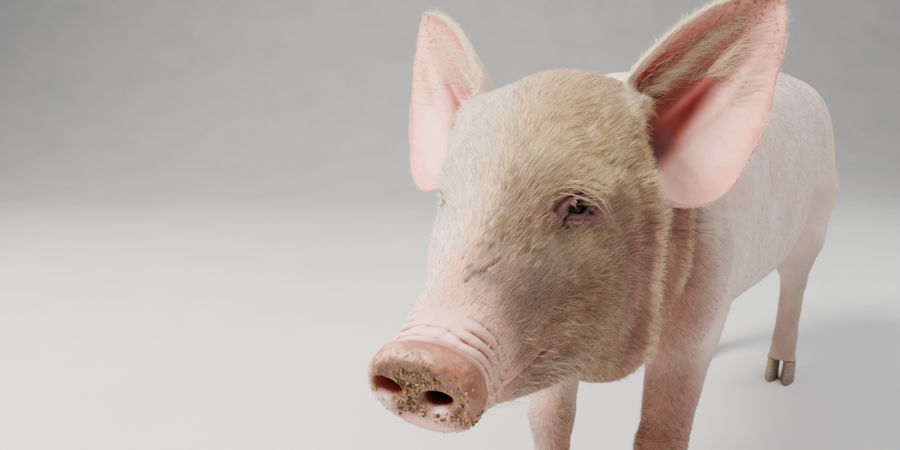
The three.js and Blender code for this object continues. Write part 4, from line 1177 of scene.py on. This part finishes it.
def sown(count, density):
    """Places for count roots on the skin, spread by area times the density of each triangle."""
    share = triangle_area * density
    chosen = luck.choice(len(share), count, p=share / share.sum())
    mix = luck.random((count, 2))
    mix = np.where(mix.sum(1, keepdims=True) > 1, 1 - mix, mix)
    mix = np.concatenate([1 - mix.sum(1, keepdims=True), mix], axis=1)[:, :, None]
    roots = (triangle_corners[chosen] * mix).sum(1)
    out = (skin_normals[skin_triangles[chosen]] * mix).sum(1)
    return roots, out / np.linalg.norm(out, axis=1, keepdims=True)


def along_skin(way, out):
    """The part of a direction that lies in the skin, at length 1."""
    way = way - out * (way * out).sum(1, keepdims=True)
    return way / np.maximum(np.linalg.norm(way, axis=1, keepdims=True), 1e-9)


def bristles(name, roots, out, way, length, width, rise, curl, tint, spread, knots=(0, 0.45, 1)):
    """Joined prisms. rise is how steeply each leaves the skin, curl how far it bends aside and back."""
    n, last_ring = len(roots), len(knots) - 1
    way = along_skin(way, out)
    aside = np.cross(out, way)
    length, width, rise, curl = (np.broadcast_to(v, n)[:, None] for v in (length, width, rise, curl))
    rings = []
    for k, x in enumerate(knots):
        centre = (roots - out * ROOT_DEPTH + way * length * x * np.cos(rise) + aside * length * curl * x * x
                  + out * length * (np.sin(rise) * x * (1 - 0.55 * x)))
        if k:       # over any fold that stands in its way
            centre = centre + out * np.maximum(0.25 + 0.3 * x - measured(centre), 0)[:, None]
        if k == last_ring:
            rings.append(centre[:, None])
            break
        half = width * THICKNESS[min(k, 2)]
        corners = [aside * math.cos(a) + out * math.sin(a) for a in np.radians((90, 210, 330))]
        rings.append(np.stack([centre + half * corner for corner in corners], axis=1))
    points = np.concatenate(rings, axis=1)
    per = points.shape[1]
    faces = []
    for k in range(last_ring - 1):
        for j in range(3):
            a, b = 3 * k + j, 3 * k + (j + 1) % 3
            faces += [(a, b, b + 3), (a, b + 3, a + 3)]
    last = 3 * (last_ring - 1)
    faces += [(last + j, last + (j + 1) % 3, last + 3) for j in range(3)]
    triangles = (np.array(faces)[None] + (np.arange(n) * per)[:, None, None]).reshape(-1, 3)
    piece = made(name, points.reshape(-1, 3), triangles)
    place_on = np.array([x for x in knots[:-1] for _ in range(3)] + [1.0])
    lighter = luck.uniform(0.8, 1.08, n)        # no two alike, and each a little lighter towards its tip
    colour = tint[:, None] * (0.82 + 0.22 * place_on)[None, :, None] * lighter[:, None, None]
    paint(piece, "tint", np.clip(colour, 0, 1).reshape(-1, 3))
    patch = rows(np.array([j % 3 for j in range(per - 1)] + [1]) / 2, place_on) * PATCH
    where = (0.004 + 0.989 * np.clip(spread, 0, 1))[:, None] + patch[None]
    baked = piece.data.uv_layers.new(name="OFBake")
    baked.data.foreach_set("uv", where.reshape(-1, 2)[triangles.ravel()].astype(np.float32).ravel())
    piece.data.materials.append(hair)
    return piece


def hair_sockets():
    tint = kept("tint")
    streak = noise(520.0, 2.0)
    colour = streak.steps(0.3, 0.75).blend(tint, tint.times((0.84, 0.75, 0.66, 1)))
    return {"Base Color": colour, "Roughness": 0.42 + streak * 0.14, "Specular IOR Level": 0.45}


hair = finish_material("pig_hair", hair_sockets)


def head_lie(q):
    """Which way the head's hair points, in the head's own frame: back from the snout, up over the
    brow towards poll and ears, back and down on cheeks and jowl."""
    l, s, u = q.T
    side, sign = np.abs(l), np.sign(l)
    outward = 0.15 + 0.5 * ramp(12, 50, side) * ramp(20, 50, u) * ramp(100, 170, s)
    outward = outward * ramp(2, 20, side)
    down = -0.75 * ramp(15, -70, u) * ramp(60, 130, s) - 0.2 * ramp(10, -30, u)
    lift = 0.45 * ramp(20, 50, u) * ramp(120, 200, s)
    swirl = 0.2 * lumps(q + 90, 26.0) + 0.22 * lumps(q + 30, 8.0)
    sideways = sign * outward + 0.16 * lumps(q + 40, 20.0) + 0.22 * lumps(q + 60, 8.0)
    return rows(sideways, np.ones_like(l), down + lift + swirl)


def body_lie(p):
    """Back along the trunk and down its sides, down the legs, and back along the belly."""
    x, _, z = p.T
    side = np.abs(x)
    leg = ramp(330, 250, z) * (1 - ramp(60, 20, side) * ramp(200, 260, z))
    down = -0.15 - 0.75 * ramp(60, 125, side) * ramp(600, 520, z)
    way = rows(0.25 * np.sign(x) * ramp(540, 620, z), np.ones_like(x), down)
    way = way * (1 - leg)[:, None] + np.array([0, 0.25, -1.0]) * leg[:, None]
    return way + 0.14 * np.stack([lumps(p + k, 44.0) for k in (5, 25, 45)], axis=1)


def eye_ring(l, s, u):
    across, above, out = eye_coordinates(np.abs(l), s, u).T
    ring, _ = lid_ring(across, above)
    return np.where(out > -8, ring, 9.0)


# Where hair grows, for the middle of each triangle of the skin: m and the name of a coordinate.
ml, ms, mu = to_head(triangle_middle).T
m_side = np.abs(ml)
ma, mb, mc = ear_coordinates(m_side, ms, mu).T
inside_ear = mc > ear_middle(ma, mb)
in_hollow = (ear_hollow(ma, mb, mc) < 2.2) & (ms > 200) & (mc < 34) & inside_ear
on_ear = (ma > -18) & (ms > 225) & (ms < 570) & (ear_skin(m_side, ms, mu) < 4) & ~in_hollow & (mu > -25)
on_head = (ms < 350) & ~on_ear & ~in_hollow & (triangle_middle[:, 1] < -330)
m_across, m_above, m_out = eye_coordinates(m_side, ms, mu).T
bare_share = 1 + 0.7 * (ml < 0) - 0.36 * (ml > 0) * ramp(3, -6, m_above)
away_from_eye = ramp(1.6, 3.4, eye_ring(ml, ms, mu) * bare_share)
away_from_eye = away_from_eye * ramp(1.5, 4.5, tear_marks(m_across, m_above) + 9 * (m_out < 0))
off_mouth = ramp(2.5, 6, np.abs(mu - mouth_height(ms)) + 9 * (ms > 128))
# bare behind the disc, more so on top; thick on brow and cheek
furred = ramp(12, 30, ms - 22 * ramp(6, 20, mu)) * away_from_eye * off_mouth
thick = furred * (0.55 + 0.45 * ramp(90, 170, ms) * ramp(-40, 30, mu) + 0.2 * ramp(60, 140, ms))


def grow_on_head(name, where, count):
    roots, out = sown(count, thick * where)
    q = to_head(roots)
    l, s, u = q.T
    side = np.abs(l)
    brow = ramp(110, 200, s + 12 * lumps(q, 30.0)) * ramp(-10, 60, u)
    length = 5.0 + 7.0 * ramp(40, 110, s) + 9 * brow - 4.5 * ramp(4.0, 1.8, eye_ring(l, s, u))
    length = length * (1 - 0.25 * ramp(220, 300, s) * ramp(30, 70, u))
    length = length * luck.uniform(0.65, 1.25, count)
    way = head_lie(q) @ HEAD_AXES + luck.normal(0, 0.08, (count, 3))
    rise = luck.uniform(0.03, 0.2, count) + 0.04 * brow + 0.14 * np.maximum(lumps(q + 15, 7.0), 0)
    curl = luck.normal(0.0, 0.12, count) - 0.2 * np.sign(l) * brow
    width = luck.uniform(0.22, 0.42, count) * (0.7 + 0.35 * ramp(40, 140, s))
    tint = towards(FAIR, STRAW, np.clip(0.4 + 0.5 * brow + 0.3 * lumps(roots, 20.0), 0, 1))
    # hair on the right side, the lit one, is painted whiter: painted light
    tint = towards(tint, WHITE, 0.9 * ramp(8, -30, l))
    soiled = ramp(-6, 12, l) * bridge_side(side, s, u)
    relief = folds(l, s, u) * ramp(-300, -360, roots[:, 1])
    furrow, crest = ramp(1.6, 5.5, relief), ramp(-1.4, -4.5, relief)
    # the lower cheek on the left side lies in shade: there more hairs are painted dark and the rest browner,
    # painted shade, like the hairs by the left eye's lids; soil darkens the hair on the bridge
    cheek = ramp(20, 50, l) * ramp(30, -10, u) * (1 - crest)
    how_many = (0.12 + 0.12 * ramp(-20, 10, l) + 0.35 * soiled + 0.25 * cheek) * (1 - crest)
    dark = luck.random(count) < how_many
    tint = towards(tint, rgb(214, 158, 116), 0.5 * ramp(10, 50, l) * ramp(40, -20, u) * (1 - crest))
    lid_shade = 0.45 * ramp(7.5, 3.0, eye_ring(l, s, u)) * ramp(4, -6, u - 38) * ramp(0, 20, l)
    soil_and_shade = 0.55 * soiled + 0.12 * cheek + lid_shade
    tint = towards(tint, SHADE, np.maximum(dark * luck.uniform(0.4, 0.95, count), soil_and_shade))
    tint = towards(tint, FAIR, np.clip(0.65 * ear_root_patch(side, s, u), 0, 0.8))
    # hair on the crests of the folds is painted lighter, painted highlight; in the furrows it takes the
    # skin's colour with its painted shade
    tint = towards(tint, rgb(255, 230, 186), 0.7 * crest)
    tint = towards(tint, WHITE, 0.9 * ramp(296, 340, s) * ramp(60, 0, u))
    tint = towards(tint, markings_shade_and_light(roots), 0.1 + 0.5 * furrow)
    spread = rows(np.arctan2(l, u + 30) / (2 * math.pi) + 0.5, s / 350)
    return bristles(name, roots, out, way, length, width, rise, curl, tint, spread)


grow_on_head("hair_brow_left", on_head * (ml >= 0) * (mu > 22), 21000)
grow_on_head("hair_brow_right", on_head * (ml < 0) * (mu > 22), 13000)
grow_on_head("hair_cheek_left", on_head * (ml >= 0) * (mu <= 22) * (ms <= 190), 15500)
grow_on_head("hair_jowl_left", on_head * (ml >= 0) * (mu <= 22) * (ms > 190), 15000)
grow_on_head("hair_cheek_right", on_head * (ml < 0) * (mu <= 22), 13000)

mx, my, mz = triangle_middle.T
on_body = ~on_head & ~on_ear & ~in_hollow & (mz > 56)
on_tail = on_body & (my > 545) & (mz > 400)


def grow_on_body(name, where, count):
    roots, out = sown(count, where * (0.7 + 0.5 * ramp(540, 620, mz)) * on_body)
    x, y, z = roots.T
    length = luck.uniform(7, 14, count) * (0.75 + 0.25 * ramp(100, 300, z)) * (1 + 0.4 * ramp(590, 640, z))
    way = body_lie(roots) + luck.normal(0, 0.12, (count, 3))
    near = ramp(-250, -420, y)[:, None]
    way = way * (1 - near) + near * np.array([0.0, 0.8, -0.8])
    tint = towards(WHITE, FAIR, np.clip(0.3 + 0.4 * lumps(roots, 60.0), 0, 1))
    tint = towards(tint, SHADE, (luck.random(count) < 0.05) * luck.uniform(0.2, 0.5, count))
    tint = towards(tint, markings_shade_and_light(roots), 0.3)
    spread = rows(np.arctan2(x, z - 450) / (2 * math.pi) + 0.5, (y + 520) / 1120)
    return bristles(name, roots, out, way, length, luck.uniform(0.2, 0.32, count),
                    luck.uniform(0.05, 0.2, count), luck.normal(0, 0.12, count), tint, spread)


grow_on_body("hair_flank_left", (mx >= 0) * (mz > 300) * ~on_tail, 21500)
grow_on_body("hair_flank_right", (mx < 0) * (mz > 300) * ~on_tail, 15000)
grow_on_body("hair_legs", (mz <= 300) * ~on_tail, 13500)


# ---- Ear hair: fine down outside, rows of longer pale hair on the ridges and the front edge inside.
# All of it is rooted in the ear's skin, and points towards the ear's tip or its edge.
def grow_on_ears(name, count, where, low, high, lie, fan, rise, width, shade, warm):
    """lie is the hair's way along, across and out of the ear, fan how much the second one varies."""
    roots, out = sown(count, where * on_ear)
    l, s, u = to_head(roots).T
    a, b, c = ear_coordinates(np.abs(l), s, u).T
    way = np.tile(np.array(lie, float), (count, 1))
    if fan:
        way[:, 1] += luck.normal(0, fan, count)
    way = way @ EAR_AXES
    way[:, 0] *= np.sign(l)
    way = way @ HEAD_AXES + luck.normal(0, 0.12, (count, 3))
    tint = towards(WHITE, FAIR, luck.uniform(0, 1, count))
    tint = towards(towards(tint, STRAW, warm), SHADE, shade)
    spread = rows(0.5 * (c > ear_middle(a, b)) + np.clip((b + 40) / 170, 0, 1) * 0.48, a / 232)
    knots = (0, 0.45, 1) if high < 12 else (0, 0.3, 0.65, 1)
    length, width = luck.uniform(low, high, count), luck.uniform(*width, count)
    return bristles(name, roots, out, way, length, width, rise, luck.normal(0, 0.2, count), tint, spread,
                    knots)


mv = ear_across(ma, mb)
ridge = (bell(mv + 0.66 - 0.0012 * ma, 0.13) + bell(mv + 0.3 - 0.0021 * ma, 0.12)
         + 0.7 * bell(mv - 0.04 - 0.003 * ma, 0.1)) * ramp(0, 30, ma) * ramp(200, 150, ma)
sparse = inside_ear * (0.06 + ramp(0.3, -0.2, mv) * 0.25 + 0.6 * ramp(0.9, 1.0, mv))
front_edge = ramp(-0.8, -0.97, mv) * ramp(-5, 20, ma) + 0.5 * ramp(0.93, 1.0, mv)
grow_on_ears("hair_ear_down", 10500, ~inside_ear * 1.0, 4, 8,
             lie=(1, 0.12, 0), fan=0, rise=0.2, width=(0.22, 0.34), shade=0.05, warm=0.0)
grow_on_ears("hair_ear_inner", 1600, sparse, 3, 6,
             lie=(1, 0.12, 0), fan=0, rise=0.3, width=(0.16, 0.24), shade=0.0, warm=0.0)
grow_on_ears("hair_ear_ridges", 2200, inside_ear * ridge, 14, 30,
             lie=(0.8, 0.55, 0.25), fan=0.25, rise=0.4, width=(0.2, 0.34), shade=0.0, warm=0.5)
grow_on_ears("hair_ear_edge", 5000, front_edge, 6, 14,
             lie=(0.75, -0.75, 0.1), fan=0.25, rise=0.35, width=(0.15, 0.24), shade=0.0, warm=0.5)


# ---- Long bristles: whiskers of muzzle, chin and cheek, brow hairs that arch over the eye, lashes
# on the upper lid, and the switch at the end of the tail. Each is a bent prism of three lengths.
LONG_KNOTS = (0, 0.25, 0.55, 1)


def grow_long(name, count, where, low, high, lie, rise, curl, width, tone, shade=0.0, aside=np.sign):
    """low and high bound the length, lie is the way in the head's frame, turned outwards by aside."""
    roots, out = sown(count, where)
    tint = towards(tone, SHADE, np.clip(luck.normal(shade, 0.15, count), 0, 0.9))
    l, s, u = to_head(roots).T
    way = np.tile(np.array(lie, float), (count, 1))
    way[:, 0] *= aside(l)
    spread = rows(np.arctan2(l, u + 30) / (2 * math.pi) + 0.5, s / 350 % 1)
    return bristles(name, roots, out, way @ HEAD_AXES + luck.normal(0, 0.16, (count, 3)),
                    luck.uniform(low, high, count), luck.uniform(*width, count),
                    luck.uniform(*rise, count), luck.normal(*curl, count), tint, spread, LONG_KNOTS)


near_mouth_left = ramp(40, 60, ms) * ramp(150, 110, ms) * ramp(14, -14, mu) * on_head * off_mouth
grow_long("whiskers", 330, near_mouth_left * (0.25 + ramp(-36, -60, mu)), 18, 44,
          lie=(0.3, 1, -0.9), rise=(0.3, 0.7), curl=(0, 0.22), width=(0.22, 0.34), tone=FAIR, shade=0.12)
brow_line = bell(m_above - 16, 6) * ramp(28, 12, np.abs(m_across - 2)) * (m_out > -20) * on_head
grow_long("brow_hairs", 84, brow_line, 24, 54, lie=(0.9, 0.3, -0.25), rise=(0.5, 0.95), curl=(-0.3, 0.12),
          width=(0.28, 0.4), tone=STRAW, shade=0.12)
lash_lie = EYE_OUT * 0.6 - EYE_ABOVE + EYE_ACROSS * 0.2
upper_lid = bell(eye_ring(ml, ms, mu) - 1.28, 0.07) * (m_above > 3.4) * (m_out > 3) * on_head
grow_long("lashes", 60, upper_lid, 6, 11,
          lie=lash_lie, rise=(0.5, 0.9), curl=(0, 0.12), width=(0.2, 0.28), tone=STRAW, shade=0.3)
# the fringe hairs round the ear's hollow are painted dark brown, which stands in for the shade there
hollow_rim = bell(ear_hollow(ma, mb, mc) - 4, 3) * (mc > 4) * ramp(-25, 20, mu) * (ms < 330) * ~in_hollow
grow_long("ear_fringe", 900, hollow_rim, 12, 26,
          lie=(1, 0.35, -0.75), rise=(0.15, 0.5), curl=(0, 0.2), width=(0.22, 0.34), tone=STRAW, shade=0.45)
m_rho = snout_rho(*snout_coordinates(ml, mu))
stubble = ramp(0.9, 1.0, m_rho) * (ms < 8) * (ms > -4) * ramp(4, -14, mu + 3)
grow_long("snout_stubble", 620, stubble + 0.15 * ramp(0.8, 0.95, m_rho) * (ms < 4), 1.6, 3.6,
          lie=(1, -0.6, -0.5), rise=(0.7, 1.1), curl=(0, 0.1), width=(0.24, 0.34), tone=rgb(92, 62, 48),
          aside=lambda l: l / 80)
straight_down = HEAD_AXES @ (0, 0, -1)
grow_long("tail_switch", 800, on_tail * ramp(470, 440, mz), 18, 42,
          lie=straight_down, rise=(0.05, 0.3), curl=(0, 0.15), width=(0.3, 0.42), tone=FAIR)


# ---- Crumbs of dried earth that cling to the disc of the snout: small uneven pebbles, heaped
# between the nostrils and sparse towards the rim, each sunk a little in the skin.
GOLD = (1 + 5 ** 0.5) / 2
PEBBLE = np.array([(-1, GOLD, 0), (1, GOLD, 0), (-1, -GOLD, 0), (1, -GOLD, 0), (0, -1, GOLD), (0, 1, GOLD),
                   (0, -1, -GOLD), (0, 1, -GOLD), (GOLD, 0, -1), (GOLD, 0, 1), (-GOLD, 0, -1),
                   (-GOLD, 0, 1)]) / 1.9
PEBBLE_FACES = np.array([(0, 11, 5), (0, 5, 1), (0, 1, 7), (0, 7, 10), (0, 10, 11), (1, 5, 9), (5, 11, 4),
                         (11, 10, 2), (10, 7, 6), (7, 1, 8), (3, 9, 4), (3, 4, 2), (3, 2, 6), (3, 6, 8),
                         (3, 8, 9), (4, 9, 5), (2, 4, 11), (6, 2, 10), (8, 6, 7), (9, 8, 1)])
m_dl, m_du = snout_coordinates(ml, mu)
heap = bell(np.hypot(m_dl + 6, 0.8 * (m_du - 4)), 8) + 0.4 * bell(np.hypot(0.7 * (m_dl - 1), m_du + 10), 8)
heap = heap + 0.3 * bell(np.hypot(m_dl - 24, m_du + 8), 9) + 0.25 * bell(np.hypot(m_dl - 8, m_du - 9), 9)
heap = heap + 0.02
heap = heap * (ms < 9) * (ms > -6) * (m_rho < 1.0) * ramp(1.32, 1.6, nostril_ring(m_dl, m_du))
heap = heap * ramp(-0.4, 0.4, lumps(triangle_middle, 4.5)) * ramp(-26, -14, m_du)
pebble_count = 900
roots, out = sown(pebble_count, heap)
size = 0.26 + 0.85 * luck.random(pebble_count) ** 2.6       # many small ones and a few large ones
knobs = PEBBLE[None] * (luck.uniform(0.65, 1.3, (pebble_count, 12)) * size[:, None])[:, :, None]
seats = roots + out * (0.3 * size)[:, None]
knobs = knobs * luck.uniform(0.7, 1.3, (pebble_count, 1, 3)) + seats[:, None]
tint = towards(rgb(70, 46, 30), rgb(178, 138, 92), luck.random(pebble_count) ** 1.4)
tint = tint[:, None] * luck.uniform(0.8, 1.15, (pebble_count, 12, 1))
earth_faces = (PEBBLE_FACES[None] + 12 * np.arange(pebble_count)[:, None, None]).reshape(-1, 3)
earth = made("snout_earth", knobs.reshape(-1, 3), earth_faces, smooth=False)
paint(earth, "tint", np.clip(tint, 0, 1).reshape(-1, 3))


def earth_sockets():
    tint, grit = kept("tint"), noise(1400.0, 4.0, 0.7)
    colour = grit.steps(0.3, 0.7).blend(tint, tint.times((0.55, 0.45, 0.36, 1)))
    return {"Base Color": colour, "Roughness": 0.85 + grit * 0.1, "Normal": bump(grit, 0.0003, 0.5)}


earth.data.materials.append(finish_material("dried_earth", earth_sockets))


# ---- Eyes: dark glassy balls behind the lids, with a bulging cornea over a brown iris and a pupil
# that lies flat. One for each side, seated in the socket of the hide.
def eye_sockets():
    pupil, iris, fibre = kept("pupil", "Fac"), kept("iris", "Fac"), kept("fibre", "Fac")
    veins = noise(900.0, 4.0, 0.7)
    white = veins.steps(0.42, 0.62).blend((0.07, 0.04, 0.03, 1), (0.05, 0.02, 0.015, 1))
    fine = (fibre * 0.6 + veins * 0.4).steps(0.3, 0.8)
    brown = fine.blend((0.010, 0.006, 0.004, 1), (0.035, 0.018, 0.009, 1))
    colour = pupil.blend(iris.blend(white, brown), (0.002, 0.002, 0.003, 1))
    return {"Base Color": colour, "Roughness": 0.08 + veins * 0.03, "Coat Weight": veins * 0.05,
            "Coat Roughness": 0.03, "Specular IOR Level": 0.1, "Normal": bump(veins, 0.0001, 0.15)}


eye_surface = finish_material("pig_eye", eye_sockets)
EYE_ROWS, EYE_COLUMNS = 40, 56
CORNEA, IRIS = (42, 12), (43, 38)       # from where to where they fade, in degrees off the eye's axis


def swept(rings, ends=None):
    """Triangles between closed rings of as many points each, with both ends filled to a point."""
    count, around = rings.shape[:2]
    grid = np.arange(count * around).reshape(count, around)
    turned = np.roll(grid, -1, 1)
    a, b, a1, b1 = (x.ravel() for x in (grid[:-1], grid[1:], turned[:-1], turned[1:]))
    first, last = np.full(around, count * around), np.full(around, count * around + 1)
    ends = [rings[0].mean(0), rings[-1].mean(0)] if ends is None else ends
    points = np.concatenate([rings.reshape(-1, 3), ends])
    triangles = np.concatenate([rows(a, a1, b1), rows(a, b1, b), rows(first, turned[0], grid[0]),
                                rows(last, grid[-1], turned[-1])])
    corners = points[triangles]
    if (np.cross(corners[:, 0], corners[:, 1]) * corners[:, 2]).sum() < 0:
        triangles = triangles[:, ::-1]
    return points, triangles


tilt, turn = np.meshgrid(np.linspace(0, math.pi, EYE_ROWS + 1)[1:-1],
                         np.arange(EYE_COLUMNS) / EYE_COLUMNS * 2 * math.pi, indexing="ij")
ball = rows(np.sin(tilt) * np.cos(turn), np.sin(tilt) * np.sin(turn), np.cos(tilt)).reshape(-1, 3)
ball = np.concatenate([ball, [[0, 0, 1], [0, 0, -1]]])
off_axis = np.degrees(np.arccos(np.clip(ball[:, 2], -1, 1)))
around = np.arctan2(ball[:, 1], ball[:, 0])
swollen = EYE_RADIUS - 0.1 + 0.9 * ramp(*CORNEA, off_axis)
for side, name in ((1, "left"), (-1, "right")):
    in_head = (ball * swollen[:, None]) @ EYE_AXES + EYE_AT
    in_head[:, 0] *= side
    seated = from_head(in_head)
    points, triangles = swept(seated[:-2].reshape(EYE_ROWS - 1, EYE_COLUMNS, 3), seated[-2:])
    eyeball = made("eyeball_" + name, points, triangles)
    paint(eyeball, "iris", ramp(*IRIS, off_axis))
    flat_pupil = np.hypot(ball[:, 0] / 0.5, ball[:, 1] / 0.34) + (ball[:, 2] < 0) * 9
    paint(eyeball, "pupil", ramp(1.08, 0.95, flat_pupil))
    paint(eyeball, "fibre", 0.5 + 0.5 * np.sin(around * 37 + 3 * np.sin(around * 11)))
    eyeball.data.materials.append(eye_surface)
    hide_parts("eye_" + name)


# ---- Hooves and dewclaws: grey-brown horn, ringed by growth and worn at the ground, each held in
# the band of skin above it. Soles are flat.
HOOF = dict(toe=40.0, heel=22.0, half=12.5, spread=15.0, lean=28.0, narrows=0.0016, rings=0.9, around=48)
DEWCLAW = dict(spread=16.0, back=16.0, up=74.0, radius=8.5, long=24.0, lean=32.0)


def horn_sockets():
    ring, worn = kept("ring", "Fac"), kept("worn", "Fac")
    grain = noise(300.0, 5.0, 0.65)
    colour = (ring * 0.25 + grain * 0.8).steps(0.3, 0.9)
    colour = colour.blend((0.20, 0.135, 0.085, 1), (0.42, 0.32, 0.22, 1))
    colour = (worn * grain * 1.5).clear().blend(colour, (0.13, 0.095, 0.065, 1))
    return {"Base Color": colour, "Roughness": 0.4 + grain * 0.25,
            "Normal": bump(ring * 0.35 + grain * 0.5, 0.0005, 0.6)}


horn = finish_material("pig_horn", horn_sockets)


def hoof(name, node, foot, side, away):
    turn = np.arange(HOOF["around"]) / HOOF["around"] * 2 * math.pi
    along = -np.cos(turn)
    levels = np.concatenate([[0, 0, 0.02], np.linspace(0.05, 1, 20), [1.0]])
    rings = []
    for k, t in enumerate(levels):
        inset = (0.6, 0.93, 0.97)[k] if k < 3 else (0.7 if k == len(levels) - 1 else 1.0)
        z = np.zeros(HOOF["around"])
        for _ in range(4):      # height and place depend on each other
            grow = (1 - z * HOOF["narrows"]) * inset * (1 + 0.004 * np.sin(z * HOOF["rings"]))
            long = np.where(along < 0, HOOF["toe"], HOOF["heel"]) * grow
            y = foot[1] - 2 + along * long + 0.5 * z * math.tan(math.radians(HOOF["lean"]))
            z = t * (CORONET_HIGH - 0.3 - (y - foot[1]) * math.tan(CORONET_SLOPE))
        wide = HOOF["half"] * grow * np.sin(turn) * np.where(along < 0, 1 - 0.28 * along * along, 1)
        rings.append(rows(side * (foot[0] + away * HOOF["spread"]) + wide, y, z))
    points, triangles = swept(np.array(rings))
    piece = made(name, points, triangles)
    height = points[:, 2]
    paint(piece, "ring", 0.5 + 0.5 * np.sin(height * HOOF["rings"] + 2.5 * lumps(points, 12.0)))
    paint(piece, "worn", ramp(26, 0, height + 8 * lumps(points + 5, 9.0)))
    piece.data.materials.append(horn)
    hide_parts(node)


def dewclaw(name, node, foot, side, away):
    lean = math.radians(DEWCLAW["lean"])
    turn = np.arange(28) / 28 * 2 * math.pi
    heights = np.array([0, 0, 0.06, 0.2, 0.35, 0.5, 0.62, 0.74, 0.84, 0.92, 0.97, 1.0])
    radii = np.array([0.4, 0.86, 0.9, 0.93, 0.95, 0.92, 0.84, 0.7, 0.54, 0.38, 0.22, 0.06])
    h, r = heights[:, None] * DEWCLAW["long"], radii[:, None] * DEWCLAW["radius"]
    r = r * (1 + 0.012 * np.sin(h * 1.7))
    x, along, out = r * np.cos(turn) * 0.86, h + 0 * turn, r * np.sin(turn) - 0.012 * h**2
    points = np.stack([side * (foot[0] + away * DEWCLAW["spread"]) + x,
                       foot[1] + DEWCLAW["back"] + math.sin(lean) * along + math.cos(lean) * out,
                       DEWCLAW["up"] - math.cos(lean) * along + math.sin(lean) * out], axis=-1)
    points, triangles = swept(points)
    piece = made(name, points, triangles)
    paint(piece, "ring", 0.5 + 0.5 * np.sin(points[:, 2] * 1.6))
    paint(piece, "worn", ramp(66, 50, points[:, 2]))
    piece.data.materials.append(horn)
    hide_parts(node)


for end, leg in (("fore", FORELEG), ("hind", HINDLEG)):
    for side, hand in ((1, "left"), (-1, "right")):
        for away, word in ((-1, "inner"), (1, "outer")):
            corner = end + "_" + hand
            hoof(corner + "_horn_" + word, corner + "_hoof_" + word, leg["joints"][-1], side, away)
            dewclaw(corner + "_spur_" + word, corner + "_dewclaw_" + word, leg["joints"][-1], side, away)


# ---- Floor and light: a pale sheet that curves up behind, a large soft lamp high on the pig's right,
# a weak one from the other side, and two that lift its back off the sheet.
def floor_sockets():
    grain = noise(3.0, 6.0, 0.6)
    return {"Base Color": grain.steps(0.2, 0.8).blend((0.52, 0.53, 0.54, 1), (0.60, 0.60, 0.60, 1)),
            "Roughness": 0.75 + grain * 0.15}


BEND = 3.0      # radius of the curve between floor and back
steps = [(-8.0, 0.0), (BEND, 0.0)]
steps += [(BEND + BEND * math.sin(a), BEND - BEND * math.cos(a)) for a in np.linspace(0.1, 1.5, 12)]
steps += [(6.0, 9.0)]
away, across = np.array([-0.61, 0.792]), np.array([0.792, 0.61])      # the sheet faces the pig's left front
sheet_points = np.array([(*(away * y + across * x), z) for y, z in steps for x in (-14.0, 14.0)])
sheet_faces = [(2 * k, 2 * k + 1, 2 * k + 3, 2 * k + 2) for k in range(len(steps) - 1)]
sheet = bpy.data.meshes.new("floor")
sheet.from_pydata([tuple(p) for p in sheet_points], [], sheet_faces)
sheet.shade_smooth()
floor = bpy.data.objects.new("floor", sheet)
bpy.context.scene.collection.objects.link(floor)
sheet.materials.append(finish_material("studio_sheet", floor_sockets))

world = bpy.data.worlds.new("studio")
bpy.context.scene.world = world
world.use_nodes = True
world.node_tree.nodes["Background"].inputs["Color"].default_value = (0.94, 0.93, 0.96, 1)
world.node_tree.nodes["Background"].inputs["Strength"].default_value = 0.26


def lamp(name, at, aim, size, power, colour):
    light = bpy.data.lights.new(name, "AREA")
    light.shape, light.size, light.energy, light.color = "DISK", size, power, colour
    lamp_made = bpy.data.objects.new(name, light)
    lamp_made.location = at
    lamp_made.rotation_euler = (Vector(aim) - Vector(at)).to_track_quat("-Z", "Y").to_euler()
    bpy.context.scene.collection.objects.link(lamp_made)


lamp("key", at=(-1.5, -2.5, 3.2), aim=(0.0, -0.45, 0.45), size=1.5, power=600.0, colour=(1.0, 0.96, 0.895))
lamp("fill", at=(2.6, -2.6, 1.8), aim=(0.0, -0.3, 0.4), size=2.4, power=14.0, colour=(1.0, 0.93, 0.88))
lamp("back", at=(1.4, 2.6, 2.6), aim=(0.0, 0.1, 0.5), size=1.6, power=55.0, colour=(1.0, 1.0, 1.0))
lamp("top", at=(0.9, 0.6, 3.2), aim=(0.1, 0.0, 0.5), size=2.0, power=70.0, colour=(1.0, 1.0, 1.0))

# ---- Camera: close in front of the snout and a little to its left, with a wide lens, a hand's
# breadth above the eyes and tilted down.
camera = bpy.data.cameras.new("camera")
camera.lens, camera.sensor_width, camera.clip_start = 24.0, 36.0, 0.01
seen_from = bpy.data.objects.new("camera", camera)
seen_from.location = (0.3045, -0.9015, 0.563)
seen_from.rotation_euler = Vector((-0.59824, 0.77965, -0.18504)).to_track_quat("-Z", "Y").to_euler()
bpy.context.scene.collection.objects.link(seen_from)
bpy.context.scene.camera = seen_from
